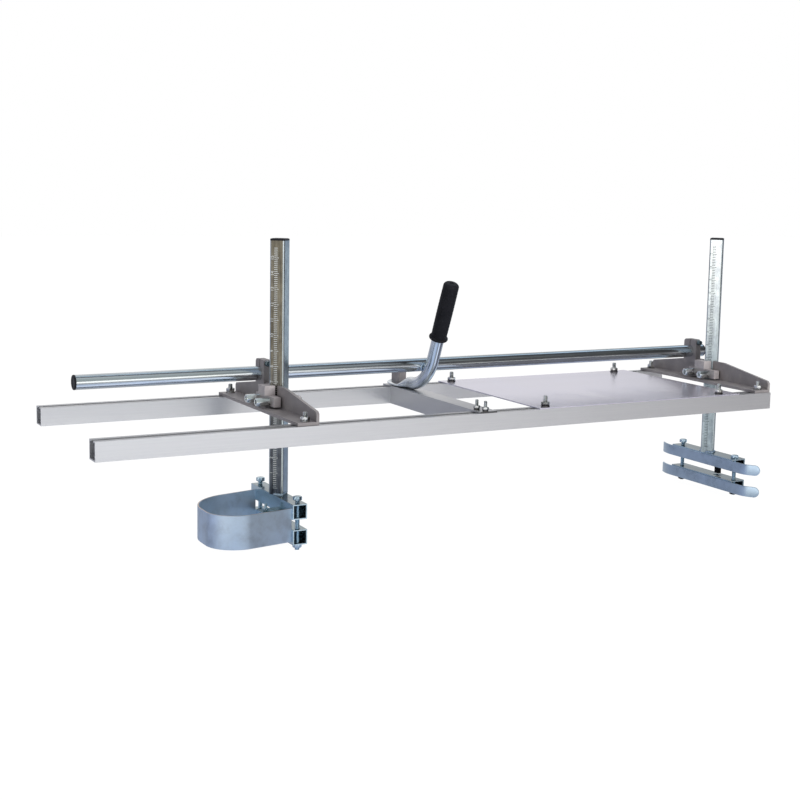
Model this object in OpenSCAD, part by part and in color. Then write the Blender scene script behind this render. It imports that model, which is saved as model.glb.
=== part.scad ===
// Chainsaw mill: two slotted rails carry a fixed and a sliding end bracket.
// Each bracket holds an upright post, and each post ends in a pair of jaws that
// grip the guide bar of a chainsaw, so the rails set the depth of the cut.
// Places are measured from the left end, the front face and the top of the rails.

/* [Rails] */
// Length of each slotted rail
rail_length = 1272; // [1200:1:1600]
// Height and width of the rail section
rail_size = 30; // [28:0.5:34]
// Wall of the rail section
rail_wall = 2.2; // [1.8:0.1:2.8]
// Width of the slot along the rail's top
slot_width = 10.5; // [9.5:0.1:12]
// Depth of the small ledges inside the rail
ledge_depth = 1.6; // [1:0.1:2.4]
// Outside width over both rails
frame_width = 350; // [330:1:380]

/* [Middle of the frame] */
// Left edge of the centre brace
brace_at = 638; // [600:1:700]
// Width of the centre brace
brace_width = 33; // [30:1:45]
// Sheet of the centre brace
brace_wall = 3; // [2:0.5:4]
// Space between the deck plate and the right bracket
deck_gap = 40; // [4:1:60]
// Length of the deck plate
deck_length = 440; // [400:1:460]
// Thickness of the deck plate
deck_wall = 2; // [1.5:0.5:3]
// Left corner bolts from the deck plate's left end
deck_inset = 20.5; // [14:0.5:24]
// Right corner bolts from the deck plate's right end
deck_right_inset = 37; // [14:0.5:40]

/* [End brackets] */
// Place of the left bracket's upright web
left_at = 350; // [320:1:380]
// Thickness of the bracket's flange and web
bracket_wall = 5; // [4:0.5:6]
// Width of the flange that lies on the rails
flange_width = 36; // [34:0.5:40]
// Height of the web in the middle
web_height = 40; // [38:0.5:44]
// Height of the web at its ends
web_end_height = 21; // [18:0.5:24]
// Length of the level part on top of the web
web_flat = 94; // [84:1:110]
// Space between the sliding bracket and the rails
slide_gap = 0.3; // [0.3:0.05:0.6]
// Rail bolts from the web's outer face
rail_bolt_back = 19; // [17:0.5:22]

/* [Posts] */
// Side of the square post tube
post_size = 25; // [22:0.5:27]
// Wall of the post tube
post_wall = 2; // [1.5:0.25:3]
// Length of the post tube
post_length = 420; // [380:1:520]
// Drop from the rails' top to the post's foot
post_drop = 143; // [135:1:150]
// Post axis from the web's outer face
post_out = 5; // [4:0.5:6]
// Space around the post in its clamp
post_gap = 0.3; // [0.3:0.05:0.6]
// Thickness of the post's cap
post_cap_wall = 3; // [2:0.5:5]

/* [Post clamps] */
// Clamp bar thickness along the rails
bar_depth = 12.5; // [11:0.5:15]
// Clamp bar length across the rails
bar_length = 76; // [70:1:90]
// Clamp bar height
bar_height = 16; // [14:0.5:18]
// Lower face of the clamp bar above the rails
bar_lift = 8; // [7:0.5:10]
// Distance between the two clamp studs
stud_spread = 42.6; // [41:0.2:46]
// Length of the long nuts
long_nut = 25; // [18:1:28]
// Depth of the vee block outside the web
vee_depth = 28; // [27:0.5:32]
// Width of the guide block over the clamp bar
guide_width = 28; // [24:1:32]

/* [Push tube and handle] */
// Outside diameter of the push tube
tube_od = 24; // [22:0.5:26]
// Wall of the push tube
tube_wall = 2; // [1.5:0.25:3]
// Left end of the push tube
tube_start = 31; // [20:1:40]
// Push tube past the right web
tube_past = 20; // [8:0.5:22]
// Push tube axis from the frame's front
tube_y = 226; // [222:0.5:232]
// Push tube axis above the rails
tube_z = 53.2; // [52:0.1:56]
// Running space between the tube and the sliding clamp
run_gap = 0.05; // [0.02:0.01:0.1]
// Thickness of the tube clamps along the rails
tube_clamp_wall = 12.7; // [12:0.1:15]
// Width of the tube clamps
tube_clamp_width = 36; // [35:0.5:42]
// Width of the slit in the tube clamps
slit = 2.4; // [1.5:0.1:3.5]
// Place of the handle along the rails
handle_at = 655; // [653:0.5:657]
// Foot of the handle's bend from the frame's front
handle_bend_y = 271; // [266:1:274]
// Thickness of the handle's flattened foot
handle_foot_wall = 5.5; // [5:0.5:7]
// Outside diameter of the handle tube
handle_od = 22; // [20:0.5:24]
// Lean of the handle towards the front in degrees
handle_lean = 23.5; // [20:0.5:26]
// Radius of the bend, on the tube's axis
handle_bend = 86; // [80:1:90]
// Length of the grip
grip_length = 110; // [100:1:120]
// Outside diameter of the grip
grip_od = 28; // [27:0.5:32]
// Outside diameter of the grip's collar
grip_collar_od = 33.5; // [33:0.5:38]

/* [Nose clamp on the left post] */
// Length of the clamp tubes across the rails
nose_length = 180; // [174:1:200]
// Side of the square clamp tubes
nose_size = 25; // [24:0.5:28]
// Wall of the clamp tubes
nose_wall = 2; // [1.5:0.25:3]
// Opening between the clamp tubes
nose_gap = 17; // [14:0.5:20]
// Bolts from the tubes' ends
nose_bolt_inset = 11; // [9:0.5:14]
// Height of the nose band
band_height = 55; // [50:1:60]
// Sheet of the nose band
band_wall = 2.5; // [2:0.25:3]
// Top of the nose band below the post's foot
band_drop = 7; // [5:0.5:9]
// Far side of the nose band from the post's axis
band_reach = 145; // [140:1:160]
// Outside radius of the band's front corner
band_front_r = 50; // [44:1:54]
// Outside radius of the band's rear corner
band_rear_r = 85; // [80:1:90]

/* [Bar clamp on the right post] */
// Width of the clamp tubes along the rails
bar_clamp_width = 33; // [32:0.5:36]
// Height of the clamp tubes
bar_clamp_height = 22; // [20:0.5:24]
// Wall of the clamp tubes
bar_clamp_wall = 2.5; // [2:0.25:3]
// Opening between the clamp tubes
bar_clamp_gap = 20; // [18:0.5:22]
// Height of the skid strips
skid_height = 20; // [18:0.5:21]
// Sheet of the skid strips
skid_wall = 3; // [2:0.25:4]
// Radius of the skid's bent front end
skid_front_r = 40; // [34:1:46]
// Radius of the skid's bent rear end
skid_rear_r = 80; // [70:1:90]

/* [Bolts] */
// Thread diameter of the main bolts
bolt_d = 8; // [7:0.5:8.5]
// Width across flats of the main nuts
nut_flats = 13; // [12:0.5:14]
// Height of the main nuts
nut_height = 6.5; // [5:0.5:8]
// Radial space around a bolt in its hole
hole_gap = 0.4; // [0.3:0.05:0.5]
// Tail of a jaw bolt below its nut
bolt_tail = 3.5; // [2:0.5:5]

/* [Hidden] */
bolt_r = bolt_d / 2;
hole_r = bolt_r + hole_gap;
washer_r = nut_flats * 0.62;
washer_h = 1.6;
mid_y = frame_width / 2;
front_y = rail_size / 2;
rear_y = frame_width - rail_size / 2;
corner_r = 1.2;
post_half = (post_size - 2 * corner_r) / sqrt(2) + corner_r;
stud_head = 6;
right_reach = vee_depth + stud_head;
mid_x = (rail_length + right_reach) / 2;
nose_low_top = -post_drop - nose_size - nose_gap;
foot_depth = -nose_low_top + nose_size + nut_height + bolt_tail;
rail_top = foot_depth;
right_low_top = -post_drop - bar_clamp_height - bar_clamp_gap;
right_bolt_end = right_low_top - bar_clamp_height - nut_height - 1;
left_post_x = left_at + post_out;
right_post_x = rail_length + post_out;
deck_at = rail_length - flange_width - deck_gap - deck_length;
tube_r = tube_od / 2;
tube_end = rail_length + tube_past;
stud_z = bar_lift + bar_height / 2;
handle_r = handle_od / 2;
zinc = [0.72, 0.76, 0.80];
alloy = [0.78, 0.78, 0.80];
cast = [0.48, 0.46, 0.45];
steel = [0.75, 0.75, 0.74];
black = [0.05, 0.05, 0.06];
slot_plate = 18;
slot_plate_h = 4;
stud_top = 20.3;
under_lip = 2;
ledge_top = 7;
brace_bolt_in = [8.5, 13];
brace_bolt_half = 10.2;
brace_bolt_r = 3;
brace_bolt_flats = 10;
brace_bolt_top = 20;
brace_washer_r = 5.1;
brace_nut_height = 5.5;
tube_cap_wall = 3;
tube_plug = 12;
handle_turn = 90 - handle_lean;
handle_bend_z = brace_wall + handle_r + handle_bend;
handle_top_y = handle_bend_y - handle_bend * sin(handle_turn);
handle_top_z = handle_bend_z - handle_bend * cos(handle_turn);
grip_start = 42;
grip_collar_h = 6;
grip_round = 6;
handle_straight = grip_start + grip_length - grip_round;
foot_slope = 30;
foot_root = 3;
wedge_half = handle_r - 1;
ring_half = 1.5;
ring_rise = 0.4;
foot_half = 15;
foot_length = frame_width - 2 - handle_bend_y;
foot_block_at = 655;
foot_block_width = 15;
foot_block_y = 319;
foot_block_height = 30;
bracket_side = 3;
bracket_slot_gap = 1.5;
bracket_slot_side = 2;
web_corner = 4;
bar_back = 7.5;
guide_reach = 26;
guide_height = 16;
tube_clamp_back = 8.7;
tube_clamp_top = 76.8;
tube_clamp_round = 7;
tube_clamp_straddle = 9;
tube_bolt_r = 2.5;
tube_bolt_head = 4.5;
tube_bolt_flats = 9;
post_plug = 12;
weld_size = 3;
nose_start = mid_y - nose_length / 2;
nose_bolt_y = [nose_start + nose_bolt_inset, nose_start + nose_length - nose_bolt_inset];
jaw_gap = 0.5;
head_lift = 5;
band_front_y = 126.3;
band_rear_y = 150;
band_front_tilt = 10;
band_rear_tilt = 12.7;
nose_stop_reach = 37;
nose_stop_y = 164;
nose_stop_width = 34;
nose_stop_inset = 10;
nose_stop_bolt_up = 12;
stop_wall = 3;
bar_clamp_at = rail_length - 10;
bar_bolt_y = [95, 250];
bar_stop_in = 12;
bar_stop_at = bar_clamp_at + bar_stop_in;
bar_stop_width = 8;
bar_stop_y = 137.5;
bar_stop_depth = 11;
bar_stop_height = 16;
bar_stop_plate = 40;
skid_front = 62;
skid_rear = 265;
skid_front_turn = 35;
skid_rear_turn = 26;
skid_tail = 19;
skid_tip_ease = 0.6;
stop_window_gap = 1.5;
big = 1000;

// Shared helpers

// Moves a piece from rail measures to the model's own frame.
module place(x, y, z) {
    translate([x - mid_x, y - mid_y, z + rail_top]) children();
}

// Hexagonal prism standing on its base.
module hex(height, flats = nut_flats) {
    cylinder(h = height, r = flats / sqrt(3), $fn = 6);
}

// Round bar standing on its base.
module rod(height, r) {
    cylinder(h = height, r = r, $fn = 64);
}

// Square with rounded corners, centred.
module soft_square(size, r) {
    square([size, size - 2 * r], center = true);
    square([size - 2 * r, size], center = true);
    for (a = [0 : 90 : 270]) {
        rotate(a) translate([size / 2 - r, size / 2 - r]) circle(r = r, $fn = 32);
    }
}

// Solid post section turned corner first, with space around it.
module post_shape(space = 0) {
    rotate(45) soft_square(post_size + 2 * space, corner_r);
}

// Points on an arc from one angle to another.
function arc_points(centre, r, from, to, steps = 20) =
    [for (i = [0 : steps]) centre + r * [cos(from + (to - from) * i / steps), sin(from + (to - from) * i / steps)]];

// A list in the opposite order.
function backwards(list) = [for (i = [len(list) - 1 : -1 : 0]) list[i]];

// Sheet of a section drawn across the rails and drawn out along them.
module along_x(length) {
    rotate([90, 0, 90]) linear_extrude(length) children();
}

// Tube drawn across the rails, with square section and open ends.
module cross_tube(length, width, height, wall) {
    difference() {
        cube([width, length, height]);
        translate([wall, -1, wall]) cube([width - 2 * wall, length + 2, height - 2 * wall]);
    }
}

// Bolt that holds a sheet of a given thickness down in a rail's slot.
module slot_bolt(sheet, play = 0) {
    plate_top = -rail_wall - play;
    sheet_top = sheet + play;
    translate([-slot_plate / 2, -slot_plate / 2, plate_top - slot_plate_h])
        cube([slot_plate, slot_plate, slot_plate_h]);
    translate([0, 0, plate_top - slot_plate_h])
        rod(stud_top + play - plate_top + slot_plate_h, bolt_r);
    translate([0, 0, sheet_top]) rod(washer_h, washer_r);
    translate([0, 0, sheet_top + washer_h]) hex(nut_height);
}

// Rails and deck

module rail_shape() {
    difference() {
        translate([0, -rail_size]) square(rail_size);
        translate([rail_wall, rail_wall - rail_size]) square(rail_size - 2 * rail_wall);
        translate([(rail_size - slot_width) / 2, -2 * rail_wall]) square([slot_width, 3 * rail_wall]);
    }
    for (z = [-ledge_top - ledge_depth, ledge_top - rail_size]) {
        translate([rail_wall, z]) square(ledge_depth);
        translate([rail_size - rail_wall - ledge_depth, z]) square(ledge_depth);
    }
}

module rail(y) {
    color(alloy) difference() {
        place(0, y, 0) along_x(rail_length) rail_shape();
        brace_bolt_places() translate([0, 0, -2 * rail_wall]) rod(3 * rail_wall, brace_bolt_r);
    }
}

module front_rail() {
    rail(0);
}

module rear_rail() {
    rail(frame_width - rail_size);
}

module centre_brace() {
    inner = frame_width - 2 * rail_size;
    color(alloy) difference() {
        union() {
            place(brace_at, 0, 0) cube([brace_width, frame_width, brace_wall]);
            for (x = [brace_at, brace_at + brace_width - brace_wall]) {
                place(x, rail_size, -rail_size) cube([brace_wall, inner, rail_size]);
            }
        }
        brace_bolt_places() translate([0, 0, -1]) rod(brace_wall + 2, brace_bolt_r + hole_gap);
    }
}

// Two bolts at the front end of the brace, one in each lip of the rail.
module brace_bolt_places() {
    place(brace_at + brace_bolt_in[0], front_y + brace_bolt_half, 0) children();
    place(brace_at + brace_bolt_in[1], front_y - brace_bolt_half, 0) children();
}

module brace_bolts() {
    color(steel) brace_bolt_places() {
        translate([0, 0, -rail_wall - under_lip]) rod(rail_wall + under_lip + brace_bolt_top, brace_bolt_r);
        translate([0, 0, brace_wall]) rod(washer_h, brace_washer_r);
        translate([0, 0, brace_wall + washer_h]) hex(brace_nut_height, brace_bolt_flats);
    }
}

module deck_places() {
    ends = [deck_at + deck_inset, deck_at + deck_length - deck_right_inset];
    for (x = ends, y = [front_y, rear_y]) {
        place(x, y, 0) children();
    }
}

module deck_plate() {
    color(alloy) difference() {
        place(deck_at, 0, 0) cube([deck_length, frame_width, deck_wall]);
        deck_places() translate([0, 0, -1]) rod(deck_wall + 2, hole_r);
    }
}

module deck_bolts() {
    color(steel) deck_places() slot_bolt(deck_wall);
}

// Push tube and handle

module push_tube() {
    color(zinc) place(tube_start, tube_y, tube_z) rotate([0, 90, 0]) difference() {
        rod(tube_end - tube_start, tube_r);
        translate([0, 0, -1]) rod(tube_end - tube_start + 2, tube_r - tube_wall);
    }
}

module tube_cap() {
    translate([0, 0, -tube_cap_wall]) rod(tube_cap_wall, tube_r);
    rod(tube_plug, tube_r - tube_wall);
}

module push_tube_caps() {
    color(black) {
        place(tube_start, tube_y, tube_z) rotate([0, 90, 0]) tube_cap();
        place(tube_end, tube_y, tube_z) rotate([0, -90, 0]) tube_cap();
    }
}

// Straight upper part of the handle, with its axis pointing along the grip.
module handle_axis() {
    place(handle_at, handle_top_y, handle_top_z) rotate([handle_lean, 0, 0]) children();
}

// Flattened end of the handle tube: a slab, and a wedge down to it from the round tube.
module handle_foot() {
    place(handle_at, handle_bend_y, brace_wall) {
        linear_extrude(handle_foot_wall) {
            polygon([
                [-wedge_half, -foot_root],
                [wedge_half, -foot_root],
                [foot_half, foot_slope],
                [foot_half, foot_length - foot_half],
                [-foot_half, foot_length - foot_half],
                [-foot_half, foot_slope]
            ]);
            translate([0, foot_length - foot_half]) circle(r = foot_half, $fn = 64);
        }
        translate([-wedge_half, 0, 0]) along_x(2 * wedge_half) polygon([
            [-foot_root, 1],
            [foot_slope - 1, 1],
            [0, handle_od - foot_root],
            [-foot_root, handle_od - foot_root]
        ]);
    }
}

// The bend and the straight part meet inside a low ring, as the bent bar shows there.
module push_handle() {
    color(zinc) difference() {
        union() {
            place(handle_at, handle_bend_y, handle_bend_z) rotate([0, 90, 0]) rotate(-handle_turn)
                rotate_extrude(angle = handle_turn, $fn = 96)
                    translate([handle_bend, 0]) circle(r = handle_r, $fn = 64);
            handle_axis() rod(handle_straight, handle_r);
            handle_axis() translate([0, 0, -ring_half]) rod(2 * ring_half, handle_r + ring_rise);
            handle_foot();
        }
        place(tube_start, tube_y, tube_z) rotate([0, 90, 0]) rod(tube_end - tube_start, tube_r);
    }
}

module handle_grip() {
    grip_r = grip_od / 2;
    color(black) handle_axis() translate([0, 0, grip_start]) difference() {
        rotate_extrude($fn = 96) {
            square([grip_collar_od / 2, grip_collar_h]);
            square([grip_r, grip_length - grip_round]);
            square([grip_r - grip_round, grip_length]);
            translate([grip_r - grip_round, grip_length - grip_round]) intersection() {
                circle(r = grip_round, $fn = 48);
                square(grip_round);
            }
        }
        translate([0, 0, -1]) rod(handle_straight - grip_start + 1, handle_r);
    }
}

module foot_block() {
    color(cast) place(foot_block_at, foot_block_y, brace_wall + handle_foot_wall)
        cube([foot_block_width, frame_width - foot_block_y - 1, foot_block_height]);
}

// End brackets and post clamps, drawn from the web's outer face

module web_profile() {
    side = bracket_side;
    polygon([
        [side, 0],
        [side, web_end_height - web_corner],
        [side + web_corner, web_end_height],
        [mid_y - web_flat / 2, web_height],
        [mid_y + web_flat / 2, web_height],
        [frame_width - side - web_corner, web_end_height],
        [frame_width - side, web_end_height - web_corner],
        [frame_width - side, 0]
    ]);
}

// Full-height prism in the shape of the post, with space around it.
module post_space(space) {
    translate([post_out, mid_y, -big / 2]) linear_extrude(big) post_shape(space);
}

// Both studs' axes, pointing along the rails.
module stud_axes(x) {
    for (side = [-1, 1]) {
        translate([x, mid_y + side * stud_spread / 2, stud_z]) rotate([0, 90, 0]) children();
    }
}

module bracket() {
    slot_back = post_half - post_out + bracket_slot_gap;
    slot_half = slot_back + bracket_slot_side;
    difference() {
        union() {
            translate([-flange_width, bracket_side, 0])
                cube([flange_width, frame_width - 2 * bracket_side, bracket_wall]);
            translate([-bracket_wall, 0, 0]) along_x(bracket_wall) web_profile();
        }
        translate([-slot_back, mid_y - slot_half, -1]) cube([slot_back + 1, 2 * slot_half, web_height + 2]);
        for (y = [front_y, rear_y]) {
            translate([-rail_bolt_back, y, -1]) rod(bracket_wall + 2, hole_r);
        }
        stud_axes(-bracket_wall - 1) rod(bracket_wall + 2, hole_r);
    }
}

module bracket_bolts(play) {
    for (y = [front_y, rear_y]) {
        translate([-rail_bolt_back, y, 0]) slot_bolt(bracket_wall, play);
    }
}

module clamp_bar() {
    difference() {
        translate([-bar_back - bar_depth, mid_y - bar_length / 2, bar_lift])
            cube([bar_depth, bar_length, bar_height]);
        post_space(post_gap);
        stud_axes(-bar_back - bar_depth - 1) rod(bar_depth + 2, hole_r);
    }
}

module vee_block() {
    difference() {
        translate([0, mid_y - bar_length / 2, bar_lift]) cube([vee_depth, bar_length, bar_height]);
        post_space(post_gap);
        stud_axes(-1) rod(vee_depth + 2, hole_r);
    }
}

module clamp_studs() {
    nut_face = -bar_back - bar_depth;
    stud_axes(nut_face - long_nut) hex(long_nut);
    stud_axes(nut_face - 1) rod(vee_depth - nut_face + 2, bolt_r);
    stud_axes(vee_depth) hex(stud_head);
}

module post_guide() {
    difference() {
        translate([-guide_reach, mid_y - guide_width / 2, bar_lift + bar_height])
            cube([guide_reach - bar_back, guide_width, guide_height]);
        post_space(post_gap);
    }
}

// Clamp that sits astride the web and holds the push tube in a split bore.
module tube_clamp(space, web_lift) {
    half = tube_clamp_width / 2;
    base = web_height - tube_clamp_straddle;
    difference() {
        translate([-tube_clamp_back, tube_y, 0]) along_x(tube_clamp_wall) {
            translate([-half, base]) square([2 * half, tube_clamp_top - base - tube_clamp_round]);
            translate([-half + tube_clamp_round, base])
                square([2 * half - 2 * tube_clamp_round, tube_clamp_top - base]);
            for (side = [-1, 1]) {
                translate([side * (half - tube_clamp_round), tube_clamp_top - tube_clamp_round])
                    circle(r = tube_clamp_round, $fn = 48);
            }
        }
        translate([-bracket_wall, 0, web_lift]) along_x(bracket_wall) web_profile();
        translate([-big / 2, tube_y, tube_z]) rotate([0, 90, 0]) rod(big, tube_r + space);
        translate([-big / 2, tube_y - slit / 2, tube_z]) cube([big, slit, big]);
        tube_bolt_axis() translate([0, 0, -half - 1]) rod(2 * half + 2, tube_bolt_r + hole_gap);
    }
}

module tube_bolt_axis() {
    x = tube_clamp_wall / 2 - tube_clamp_back;
    z = (tube_z + tube_r + tube_clamp_top) / 2;
    translate([x, tube_y, z]) rotate([90, 0, 0]) children();
}

// Cross bolt that closes the tube clamp.
module tube_bolt() {
    half = tube_clamp_width / 2;
    tube_bolt_axis() {
        translate([0, 0, -half - tube_bolt_head]) rod(2 * half + 2 * tube_bolt_head + 2, tube_bolt_r);
        translate([0, 0, half]) hex(tube_bolt_head, tube_bolt_flats);
        translate([0, 0, -half - tube_bolt_head]) hex(tube_bolt_head, tube_bolt_flats);
    }
}

module at_right() {
    place(rail_length, 0, 0) children();
}

module at_left() {
    place(left_at, 0, slide_gap) children();
}

module right_bracket() {
    color(cast) at_right() bracket();
}

module right_bracket_bolts() {
    color(steel) at_right() bracket_bolts(0);
}

module right_clamp_bar() {
    color(cast) at_right() clamp_bar();
}

module right_vee_block() {
    color(cast) at_right() vee_block();
}

module right_clamp_studs() {
    color(steel) at_right() clamp_studs();
}

module right_post_guide() {
    color(cast) at_right() post_guide();
}

module right_tube_clamp() {
    color(cast) at_right() tube_clamp(0, 0);
}

module right_tube_bolt() {
    color(steel) at_right() tube_bolt();
}

module left_bracket() {
    color(cast) at_left() bracket();
}

module left_bracket_bolts() {
    color(steel) place(left_at, 0, 0) bracket_bolts(slide_gap);
}

module left_clamp_bar() {
    color(cast) at_left() clamp_bar();
}

module left_vee_block() {
    color(cast) at_left() vee_block();
}

module left_clamp_studs() {
    color(steel) at_left() clamp_studs();
}

module left_post_guide() {
    color(cast) at_left() post_guide();
}

module left_tube_clamp() {
    color(cast) place(left_at, 0, 0) tube_clamp(run_gap, slide_gap);
}

module left_tube_bolt() {
    color(steel) place(left_at, 0, 0) tube_bolt();
}

// Posts, drawn from the post's axis at the rails' top

module at_post(x) {
    place(x, mid_y, 0) children();
}

module post_tube() {
    translate([0, 0, -post_drop]) linear_extrude(post_length) difference() {
        post_shape();
        rotate(45) square(post_size - 2 * post_wall, center = true);
    }
}

module post_cap() {
    translate([0, 0, post_length - post_drop]) linear_extrude(post_cap_wall) post_shape();
    translate([0, 0, post_length - post_drop - post_plug]) linear_extrude(post_plug)
        rotate(45) square(post_size - 2 * post_wall, center = true);
}

// Weld bead round the post's foot, on a tube of a given width.
module post_weld(width) {
    translate([0, 0, -post_drop]) intersection() {
        linear_extrude(weld_size) difference() {
            post_shape(weld_size);
            post_shape();
        }
        translate([-width / 2, -width, 0]) cube([width, 2 * width, weld_size]);
    }
}

module left_post() {
    color(zinc) at_post(left_post_x) post_tube();
}

module left_post_cap() {
    color(black) at_post(left_post_x) post_cap();
}

module left_post_weld() {
    color(zinc) at_post(left_post_x) post_weld(nose_size);
}

module right_post() {
    color(zinc) at_post(right_post_x) post_tube();
}

module right_post_cap() {
    color(black) at_post(right_post_x) post_cap();
}

module right_post_weld() {
    color(zinc) at_post(right_post_x) post_weld(post_size);
}

// Nose clamp under the left post

module nose_tube(x, top, bolt_hole_r) {
    difference() {
        place(x, nose_start, top - nose_size) cross_tube(nose_length, nose_size, nose_size, nose_wall);
        for (y = nose_bolt_y) {
            place(left_post_x, y, top - nose_size - 1) rod(nose_size + 2, bolt_hole_r);
        }
    }
}

module left_upper_jaw() {
    color(zinc) nose_tube(left_post_x - nose_size / 2, -post_drop, bolt_r);
}

module left_lower_jaw() {
    color(zinc) nose_tube(left_post_x - nose_size / 2 + jaw_gap, nose_low_top, hole_r);
}

module left_jaw_bolts() {
    color(steel) for (y = nose_bolt_y) {
        place(left_post_x, y, -foot_depth) rod(foot_depth - post_drop + head_lift, bolt_r);
        place(left_post_x, y, head_lift - post_drop) hex(nut_height);
    }
}

module jaw_nut() {
    difference() {
        hex(nut_height);
        translate([0, 0, -1]) rod(nut_height + 2, bolt_r + run_gap);
    }
}

module left_jaw_nuts() {
    color(steel) for (y = nose_bolt_y) {
        place(left_post_x, y, nose_low_top - nose_size - nut_height) jaw_nut();
    }
}

// Edge of the band seen from above, moved inwards by a given amount.
function band_edge(inset) =
    let (
        far = left_post_x - band_reach,
        face = left_post_x - nose_size / 2,
        front = [far + band_front_r, band_front_y],
        rear = [far + band_rear_r, band_rear_y],
        front_r = band_front_r - inset,
        rear_r = band_rear_r - inset,
        front_leg = front + front_r * [sin(band_front_tilt), -cos(band_front_tilt)],
        rear_leg = rear + rear_r * [-sin(band_rear_tilt), cos(band_rear_tilt)]
    )
    concat(
        [[face, front_leg.y + (face - front_leg.x) * tan(band_front_tilt)]],
        arc_points(front, front_r, 270 + band_front_tilt, 180),
        arc_points(rear, rear_r, 180, 90 + band_rear_tilt),
        [[face, rear_leg.y + (face - rear_leg.x) * tan(band_rear_tilt)]]
    );

// Bent strip with a rounded front corner, a straight far side and two straight legs.
module nose_band() {
    color(zinc) place(0, 0, -post_drop - band_drop - band_height) linear_extrude(band_height)
        polygon(concat(band_edge(0), backwards(band_edge(band_wall))));
}

module nose_stop() {
    top = -post_drop - nose_size;
    color(zinc) difference() {
        place(left_post_x - nose_stop_reach, nose_stop_y - nose_stop_width / 2, top - stop_wall)
            cube([nose_stop_reach + nose_size / 2, nose_stop_width, stop_wall]);
        nose_stop_axis() translate([0, 0, -stop_wall - 1]) rod(stop_wall + 2, tube_bolt_r);
    }
}

module nose_stop_axis() {
    place(left_post_x - nose_stop_reach + nose_stop_inset, nose_stop_y, -post_drop - nose_size)
        children();
}

module nose_stop_bolt() {
    color(steel) nose_stop_axis() {
        translate([0, 0, -stop_wall - tube_bolt_head]) hex(tube_bolt_head, tube_bolt_flats);
        translate([0, 0, -stop_wall - 1]) rod(stop_wall + nose_stop_bolt_up + 1, tube_bolt_r);
        hex(tube_bolt_head, tube_bolt_flats);
    }
}

// Bar clamp under the right post

module bar_tube(top, bolt_hole_r) {
    difference() {
        place(bar_clamp_at, nose_start, top - bar_clamp_height)
            cross_tube(nose_length, bar_clamp_width, bar_clamp_height, bar_clamp_wall);
        for (y = bar_bolt_y) {
            place(right_post_x, y, top - bar_clamp_height - 1) rod(bar_clamp_height + 2, bolt_hole_r);
        }
    }
}

module right_upper_jaw() {
    color(zinc) bar_tube(-post_drop, bolt_r);
}

// The lower tube has a window in its top that the stop block enters.
module right_lower_jaw() {
    space = stop_window_gap;
    color(zinc) difference() {
        bar_tube(right_low_top, hole_r);
        place(bar_stop_at - space, bar_stop_y - space, right_low_top - bar_clamp_wall - 1)
            cube([bar_stop_width + 2 * space, bar_stop_depth + 2 * space, bar_clamp_wall + 2]);
    }
}

module right_jaw_bolts() {
    color(steel) for (i = [0, 1]) {
        rise = i * head_lift;
        place(right_post_x, bar_bolt_y[i], right_bolt_end) rod(rise - post_drop - right_bolt_end, bolt_r);
        place(right_post_x, bar_bolt_y[i], rise - post_drop) hex(nut_height);
    }
}

module right_jaw_nuts() {
    color(steel) for (y = bar_bolt_y) {
        place(right_post_x, y, right_low_top - bar_clamp_height - nut_height) jaw_nut();
    }
}

module right_jaw_stop() {
    top = -post_drop - bar_clamp_height;
    color(black) {
        place(bar_stop_at, bar_stop_y, top - bar_stop_height)
            cube([bar_stop_width, bar_stop_depth, bar_stop_height]);
        place(bar_stop_at, bar_stop_y + bar_stop_depth, top - stop_wall)
            cube([bar_stop_width, bar_stop_plate, stop_wall]);
    }
}

// Edge of the skid seen from above, moved inwards by a given amount.
function skid_edge(inset) =
    let (
        far = bar_clamp_at - skid_wall,
        front = [far + skid_front_r, skid_front],
        rear = [far + skid_rear_r, skid_rear],
        turn = 180 + skid_front_turn,
        tail_end = front + (skid_front_r - inset) * [cos(turn), sin(turn)] + skid_tail * [-sin(turn), cos(turn)]
    )
    concat(
        [tail_end],
        arc_points(front, skid_front_r - inset, turn, 180),
        arc_points(rear, skid_rear_r - inset, 180, 180 - skid_rear_turn)
    );

// Thrust skid: a strip on the clamp's log side, with both ends bent away.
module skid(top) {
    far = bar_clamp_at - skid_wall;
    color(zinc) difference() {
        place(0, 0, top - skid_height) linear_extrude(skid_height)
            polygon(concat(skid_edge(0), backwards(skid_edge(skid_wall))));
        place(far + skid_front_r, skid_front, top - skid_height / 2) rotate(180 + skid_front_turn)
            translate([skid_front_r - skid_wall - 1, skid_tail, 0]) skid_tip_cut();
    }
}

// What rounds the tip of the skid's tail off.
module skid_tip_cut() {
    r = skid_height / 2 + skid_tip_ease;
    depth = skid_wall + 2;
    translate([0, -r, 0]) difference() {
        translate([0, 0, -r - 1]) cube([depth, r + 1, 2 * r + 2]);
        translate([-1, 0, 0]) rotate([0, 90, 0]) rod(depth + 2, r);
    }
}

module right_upper_skid() {
    skid(-post_drop - bar_clamp_height + skid_height);
}

module right_lower_skid() {
    skid(right_low_top - bar_clamp_height + skid_height);
}

front_rail();
rear_rail();
centre_brace();
brace_bolts();
deck_plate();
deck_bolts();
foot_block();
push_tube();
push_tube_caps();
push_handle();
handle_grip();
right_bracket();
right_bracket_bolts();
right_clamp_bar();
right_vee_block();
right_clamp_studs();
right_post_guide();
right_tube_clamp();
right_tube_bolt();
left_bracket();
left_bracket_bolts();
left_clamp_bar();
left_vee_block();
left_clamp_studs();
left_post_guide();
left_tube_clamp();
left_tube_bolt();
left_post();
left_post_cap();
left_post_weld();
left_upper_jaw();
nose_band();
nose_stop();
nose_stop_bolt();
left_jaw_bolts();
left_lower_jaw();
left_jaw_nuts();
right_post();
right_post_cap();
right_post_weld();
right_upper_jaw();
right_upper_skid();
right_jaw_stop();
right_jaw_bolts();
right_lower_jaw();
right_lower_skid();
right_jaw_nuts();
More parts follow.
